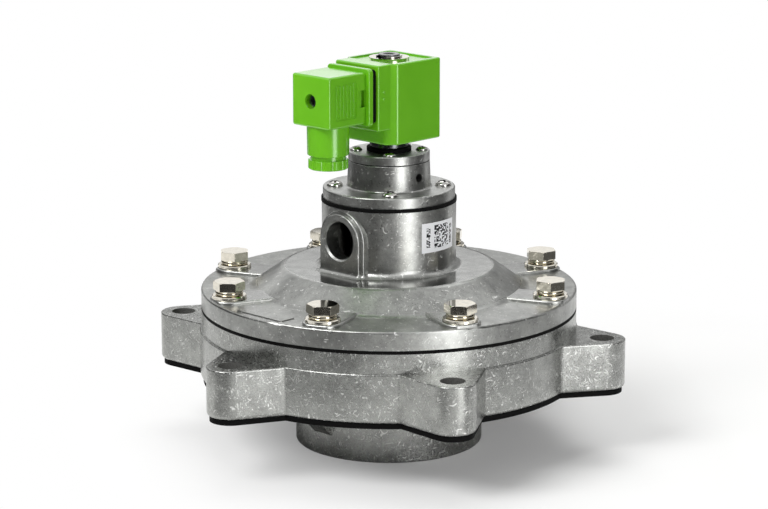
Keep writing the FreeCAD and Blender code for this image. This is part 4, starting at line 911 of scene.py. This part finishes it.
class PULSEVALVE_OT_coil(bpy.types.Operator):
    """Coil moulding with a chamfered front, a rimmed top and the boss that carries the plug"""
    bl_idname = "pulsevalve.coil"
    bl_label = "Coil moulding"

    def execute(self, context):
        low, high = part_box("coil_housing")
        half, back, boss_end = high.x / MM, high.y / MM, low.y / MM
        base, top = height_of("coil_housing")
        rounding = context.scene.pulse_valve_sizes.plastic_round / MM
        body = block("coil_moulding", (-half, COIL_FRONT, base), (half, back, top))
        bevel_edges(body, lambda a, b: abs(a.z - b.z) > 1.0 and a.y < 0.0, COIL_CHAMFER, 1)
        round_edges(body, 1.2 * rounding, 4)
        boss = block(
            "boss", (-BOSS_HALF_WIDTH, boss_end, base + BOSS_RISE), (BOSS_HALF_WIDTH, back - 8.0, top),
        )
        round_edges(boss, 1.2 * rounding, 4)
        carve(body, boss, "UNION")
        well = block(
            "well", (-half + COIL_RIM, COIL_FRONT + COIL_RIM, top - COIL_RIM_HEIGHT),
            (half - COIL_RIM, back - COIL_RIM, top + 1.0),
        )
        bevel_edges(well, lambda a, b: abs(a.z - b.z) > 1.0, 1.6)
        carve(body, well)
        carve(body, rod("bore", COIL_BORE, (0, 0, base - 1.0), (0, 0, top + 1.0)))
        close_and_face_out(body)
        dot = turned("dot", [(0.85, -0.2), (0.75, 0.3), (0.4, 0.55)], sides=16)
        dot.rotation_euler = (0, math.radians(90), 0)
        settle(dot)
        dot_y = (boss_end + COIL_FRONT) / 2.0 + 0.6
        dots = [copied(dot, (BOSS_HALF_WIDTH, dot_y, height)) for height in DOT_HEIGHTS]
        bpy.data.objects.remove(dot)
        body = join("coil_moulding", [body, *dots])
        dress(body, "coil_housing", "coil", "green_plastic")
        return {"FINISHED"}


class PULSEVALVE_OT_plug(bpy.types.Operator):
    """Plug hood with its grip ribs, latch notches, screw hole and gland tube, and its base plate"""
    bl_idname = "pulsevalve.plug"
    bl_label = "Plug"

    def execute(self, context):
        rounding = context.scene.pulse_valve_sizes.plastic_round / MM
        dress(make_hood(rounding), "plug_hood", "coil", "green_plastic")
        low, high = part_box("contact_carrier")
        base = block(
            "plug_base_plate", (low.x / MM, HOOD_Y, low.z / MM), (high.x / MM, high.y / MM, high.z / MM),
        )
        bevel_edges(base, lambda a, b: abs(a.y - b.y) > 1.0, 2.2)
        round_edges(base, 0.8 * rounding, 3, 35.0)
        dress(base, "contact_carrier", "coil", "green_plastic")
        return {"FINISHED"}


def make_hood(rounding):
    """Hood as one shell, its open end against the base plate."""
    low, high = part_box("plug_hood")
    half = high.x / MM
    end, top = low.y / MM, high.z / MM
    floor = 2.0 * PLUG_Z - top
    hood = block("hood_shell", (-half, end, floor), (half, HOOD_Y - HOOD_STEP, top))
    round_edges(hood, 1.5 * rounding, 4)
    spigot = block(
        "spigot", (-half + HOOD_STEP, HOOD_Y - 2.0, floor + HOOD_STEP),
        (half - HOOD_STEP, HOOD_Y, top - HOOD_STEP),
    )
    carve(hood, spigot, "UNION")
    notch_end = HOOD_Y - NOTCH_LENGTH
    panel_low, panel_high = PLUG_Z - PANEL_HALF_HEIGHT, PLUG_Z + PANEL_HALF_HEIGHT
    notch_low, notch_high = PLUG_Z - NOTCH_HALF_HEIGHT, PLUG_Z + NOTCH_HALF_HEIGHT
    for face in (-half, half):
        panel = block(
            "panel", (face - PANEL_DEPTH, end + PANEL_START, panel_low),
            (face + PANEL_DEPTH, end + PANEL_END, panel_high),
        )
        bevel_edges(panel, lambda a, b: abs(a.x - b.x) > 0.5, 1.8)
        carve(hood, panel)
        carve(hood, block(
            "notch", (face - NOTCH_DEPTH, notch_end, notch_low), (face + NOTCH_DEPTH, HOOD_Y, notch_high),
        ))
        carve(hood, block(
            "slot", (face - LATCH_DEPTH, notch_end + 2.8, notch_low),
            (face + LATCH_DEPTH, HOOD_Y - 0.3, notch_high),
        ))
    mouth = low.z / MM
    tube = turned("gland_tube", [
        (10.0, mouth), (10.0, mouth + 6.3), (11.6, mouth + 6.3), (11.9, mouth + 6.6), (12.2, floor + 2.0),
    ], y=end + HOOD_TUBE_Y, sides=LARGE_ROUND)
    carve(hood, tube, "UNION")
    carve(hood, rod("screw_bore", HOOD_SCREW_BORE, (0, end - 1.0, PLUG_Z), (0, end + 4.5, PLUG_Z)))
    close_and_face_out(hood)
    middle = end + RIB_START
    rib = block(
        "rib", (half - RIB_RISE, middle - RIB_HALF_WIDTH, PLUG_Z - RIB_HALF_HEIGHT),
        (half, middle + RIB_HALF_WIDTH, PLUG_Z + RIB_HALF_HEIGHT),
    )
    round_edges(rib, 0.2, 3)
    ribs = [
        copied(rib, (across, RIB_PITCH * index, 0.0))
        for across in (RIB_RISE - 2.0 * half, 0.0) for index in range(RIB_COUNT)
    ]
    bpy.data.objects.remove(rib)
    return join("hood_shell", [hood, *ribs])


class PULSEVALVE_OT_core_end(bpy.types.Operator):
    """End of the fixed core with its centre hole, and the open clip round its neck"""
    bl_idname = "pulsevalve.core_end"
    bl_label = "Core end and clip"

    def execute(self, context):
        low, high = height_of("fixed_core")
        washer_top = height_of("coil_washer")[1]
        clip_top = height_of("retaining_clip")[1]
        shoulder = washer_top - 0.6
        core = turned("core_end", [
            (CORE_RADIUS, low), (6.4, low + 0.4), (6.4, shoulder), (5.0, shoulder), (5.0, clip_top + 0.1),
            (6.1, clip_top + 0.1), (CORE_RADIUS, clip_top + 0.3), (CORE_RADIUS, high - 0.3), (5.9, high),
            (3.4, high), (3.0, high - 0.4), (3.0, clip_top - 1.6),
        ], sides=SMALL_ROUND)
        dress(core, "fixed_core", "casing", "core_iron")
        clip = turned("open_clip", [
            (CLIP_BORE, washer_top), (CLIP_RADIUS - 0.2, washer_top), (CLIP_RADIUS, washer_top + 0.2),
            (CLIP_RADIUS, clip_top - 0.2), (CLIP_RADIUS - 0.2, clip_top), (CLIP_BORE, clip_top),
        ], hollow=True)
        carve(clip, block(
            "gap", (-CLIP_HALF_GAP, -12.0, washer_top - 1.0), (CLIP_HALF_GAP, 0.0, clip_top + 1.0),
        ))
        round_edges(clip, 0.15, 2, 50.0)
        dress(clip, "retaining_clip", "casing", "polished_screw")
        return {"FINISHED"}


class PULSEVALVE_OT_main_spring(bpy.types.Operator):
    """Coil spring over the main disc, wound from round wire"""
    bl_idname = "pulsevalve.main_spring"
    bl_label = "Main spring"

    def execute(self, context):
        low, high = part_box("main_spring")
        wire = SPRING_WIRE_RADIUS * MM
        deselect_all()
        bpy.ops.mesh.primitive_circle_add(
            vertices=14, radius=wire, fill_type="NOTHING",
            location=(high.x - wire, 0, low.z + wire), rotation=(math.radians(90), 0, 0),
        )
        spring = new_piece("wound_spring")
        modify(
            spring, "SCREW", axis="Z", angle=2.0 * math.pi * SPRING_TURNS,
            screw_offset=high.z - low.z - 2.0 * wire,
            steps=SPRING_STEPS, render_steps=SPRING_STEPS, use_merge_vertices=False,
        )
        edit(spring)
        bpy.ops.mesh.select_all(action="DESELECT")
        bpy.ops.mesh.select_non_manifold()
        bpy.ops.mesh.fill_holes(sides=0)
        leave_edit()
        close_and_face_out(spring)
        body = frame["nodes"]["main_spring"]["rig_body"]
        dress(spring, "main_spring", body, "spring_steel")
        return {"FINISHED"}


class PULSEVALVE_OT_stage(bpy.types.Operator):
    """Pale floor, soft lamps and the camera"""
    bl_idname = "pulsevalve.stage"
    bl_label = "Stage"

    def execute(self, context):
        make_floor(tuple(context.scene.pulse_valve_colours.floor))
        make_world()
        make_lamps(context.scene.pulse_valve_light)
        make_screens()
        make_camera()
        return {"FINISHED"}


def make_floor(colour):
    """Floor that keeps the valve's shadow and fades to plain white away from it."""
    deselect_all()
    bpy.ops.mesh.primitive_circle_add(
        vertices=96, radius=FLOOR_RADIUS, fill_type="NGON", location=(0, 0, -0.0002),
    )
    floor = new_piece("floor")
    material, tree, place = start_material("pale_floor_paper")
    paper = add_node(tree, "BsdfPrincipled", {
        "Base Color": colour, "Roughness": 0.9, "Specular IOR Level": 0.1,
    })
    path = add_node(tree, "LightPath").outputs
    mirrored = largest(tree, [path["Is Glossy Ray"], path["Is Transmission Ray"]])
    distance = add_node(tree, "VectorMath", (place,), operation="LENGTH").outputs["Value"]
    from_shadow = add_node(tree, "VectorMath", (
        place, tuple(around(112.0, 0.0, 0.11)),
    ), operation="DISTANCE").outputs["Value"]
    seen = add_node(tree, "MapRange", (from_shadow, 0.14, 0.30, 0.15, 1.0)).outputs[0]
    seen = add_node(tree, "Math", (seen, path["Is Camera Ray"]), operation="MULTIPLY").outputs[0]
    far = add_node(tree, "MapRange", (distance, 0.42, 0.58, 0.0, 1.0)).outputs[0]
    far = add_node(tree, "Math", (far, mirrored), operation="MULTIPLY").outputs[0]
    white = add_node(tree, "Emission", {"Color": (1, 1, 1, 1), "Strength": 1.0})
    mix = add_node(tree, "MixShader", (
        largest(tree, [seen, far]), paper.outputs["BSDF"], white.outputs["Emission"],
    ))
    add_node(tree, "OutputMaterial", {"Surface": mix.outputs["Shader"]})
    floor.data.materials.append(material)


def make_world():
    """White to the camera and in reflections, and a plain soft grey as a light."""
    world = bpy.data.worlds.new("studio")
    bpy.context.scene.world = world
    world.use_nodes = True
    tree = world.node_tree
    tree.nodes.clear()
    path = add_node(tree, "LightPath").outputs
    seen = largest(tree, [path["Is Camera Ray"], path["Is Glossy Ray"], path["Is Transmission Ray"]])
    strength = add_node(tree, "MapRange", (seen, 0.0, 1.0, 0.36, 1.0))
    background = add_node(tree, "Background", {
        "Color": (1, 1, 1, 1), "Strength": strength.outputs[0],
    })
    add_node(tree, "OutputWorld", {"Surface": background.outputs["Background"]})


def around(side, rise, distance):
    """Place at an angle to the right of the camera and above the floor, as seen from the valve."""
    azimuth = math.radians(CAMERA_AZIMUTH + side)
    elevation = math.radians(rise)
    return Vector((
        distance * math.sin(azimuth) * math.cos(elevation),
        -distance * math.cos(azimuth) * math.cos(elevation),
        distance * math.sin(elevation),
    ))


def make_screens():
    """Dark and bright screens and cards round the valve and a canopy above, for reflections alone."""
    for number, (side, width, bottom, top, grey) in enumerate(SCREENS, 1):
        place = around(side, 0.0, SCREEN_DISTANCE)
        place.z = (bottom + top) / 2.0
        turn = math.atan2(place.x, -place.y)
        make_screen(f"screen_{number}", place, (math.radians(90), 0, turn), (width, top - bottom), grey)
    for number, (side, width, near, far, grey) in enumerate(CARDS, 1):
        place = around(side, 0.0, (near + far) / 2.0)
        place.z = CARD_HEIGHT
        turn = math.atan2(place.x, -place.y)
        make_screen(f"card_{number}", place, (0, 0, turn), (width, far - near), grey)
    place = Vector((0.0, 0.0, CANOPY_HEIGHT))
    make_screen("canopy", place, (0, 0, math.radians(CAMERA_AZIMUTH)), CANOPY_SIZE, CANOPY_GREY)


def make_screen(name, place, turn, size, grey):
    deselect_all()
    bpy.ops.mesh.primitive_plane_add(size=1.0, location=place, rotation=turn)
    screen = bpy.context.object
    screen.name = name
    screen.scale = (*size, 1.0)
    settle(screen)
    for rays in ("camera", "diffuse", "shadow", "transmission"):
        setattr(screen, f"visible_{rays}", False)
    # Each screen and card glows evenly at its brightness and shows only in reflections: a painted
    # reflection, not a lamp.
    reflection_glow = start_material(f"{name}_cloth")[0]
    screen.data.materials.append(finish_material(reflection_glow, {
        "Base Color": (0.0, 0.0, 0.0, 1.0), "Specular IOR Level": 0.0, "Roughness": 1.0,
        "Emission Color": (1.0, 1.0, 1.0, 1.0), "Emission Strength": grey,
    }))


def make_lamps(light):
    """Softboxes, each given by its place in metres, its size and its power."""
    lamps = (
        ("key", around(-47.0, 47.0, 1.9), (0.8, 0.8), light.key_power),
        ("strip", around(35.0, 14.0, 1.9), (0.45, 1.3), light.strip_power),
        ("top", around(170.0, 66.0, 1.8), (1.2, 1.2), light.top_power),
    )
    for name, place, size, power in lamps:
        lamp = bpy.data.lights.new(name, "AREA")
        lamp.shape = "RECTANGLE"
        lamp.size, lamp.size_y = size
        lamp.energy = power
        holder = bpy.data.objects.new(name, lamp)
        holder.location = place
        holder.rotation_euler = (LAMP_TARGET - place).to_track_quat("-Z", "Y").to_euler()
        bpy.context.scene.collection.objects.link(holder)


def make_camera():
    """The photograph's viewpoint: in front and to the right, a little above the valve."""
    direction = around(0.0, CAMERA_ELEVATION, 1.0)
    camera = bpy.data.cameras.new("camera")
    camera.lens = CAMERA_LENS
    camera.sensor_width = 36.0
    camera.clip_start = 0.05
    camera.clip_end = 30.0
    holder = bpy.data.objects.new("camera", camera)
    holder.location = CAMERA_TARGET + CAMERA_DISTANCE * direction
    holder.rotation_euler = (-direction).to_track_quat("-Z", "Y").to_euler()
    bpy.context.scene.collection.objects.link(holder)
    bpy.context.scene.camera = holder
    bpy.context.scene.view_settings.view_transform = "Standard"


OPERATORS = (
    PULSEVALVE_OT_finishes,
    PULSEVALVE_OT_cover_bolts,
    PULSEVALVE_OT_cover_washers,
    PULSEVALVE_OT_screws,
    PULSEVALVE_OT_coil,
    PULSEVALVE_OT_plug,
    PULSEVALVE_OT_core_end,
    PULSEVALVE_OT_main_spring,
    PULSEVALVE_OT_stage,
)


class PULSEVALVE_PT_sidebar(bpy.types.Panel):
    bl_idname = "PULSEVALVE_PT_sidebar"
    bl_label = "Pulse valve"
    bl_space_type = "VIEW_3D"
    bl_region_type = "UI"
    bl_category = "Pulse valve"

    def draw(self, context):
        layout = self.layout
        scene = context.scene
        for operator in OPERATORS:
            layout.operator(operator.bl_idname)
        for group in (scene.pulse_valve_sizes, scene.pulse_valve_colours, scene.pulse_valve_light):
            for name in group.bl_rna.properties.keys():
                if name not in ("rna_type", "name"):
                    layout.prop(group, name)


CLASSES = (PulseValveSizes, PulseValveColours, PulseValveLight, *OPERATORS, PULSEVALVE_PT_sidebar)


def register():
    for one in CLASSES:
        bpy.utils.register_class(one)
    bpy.types.Scene.pulse_valve_sizes = bpy.props.PointerProperty(type=PulseValveSizes)
    bpy.types.Scene.pulse_valve_colours = bpy.props.PointerProperty(type=PulseValveColours)
    bpy.types.Scene.pulse_valve_light = bpy.props.PointerProperty(type=PulseValveLight)


def unregister():
    del bpy.types.Scene.pulse_valve_light
    del bpy.types.Scene.pulse_valve_colours
    del bpy.types.Scene.pulse_valve_sizes
    for one in reversed(CLASSES):
        bpy.utils.unregister_class(one)


def main():
    register()
    bpy.ops.pulsevalve.finishes()
    bpy.ops.pulsevalve.cover_bolts()
    bpy.ops.pulsevalve.cover_washers()
    bpy.ops.pulsevalve.screws()
    bpy.ops.pulsevalve.coil()
    bpy.ops.pulsevalve.plug()
    bpy.ops.pulsevalve.core_end()
    bpy.ops.pulsevalve.main_spring()
    bpy.ops.pulsevalve.stage()


if __name__ == "__main__":
    main()
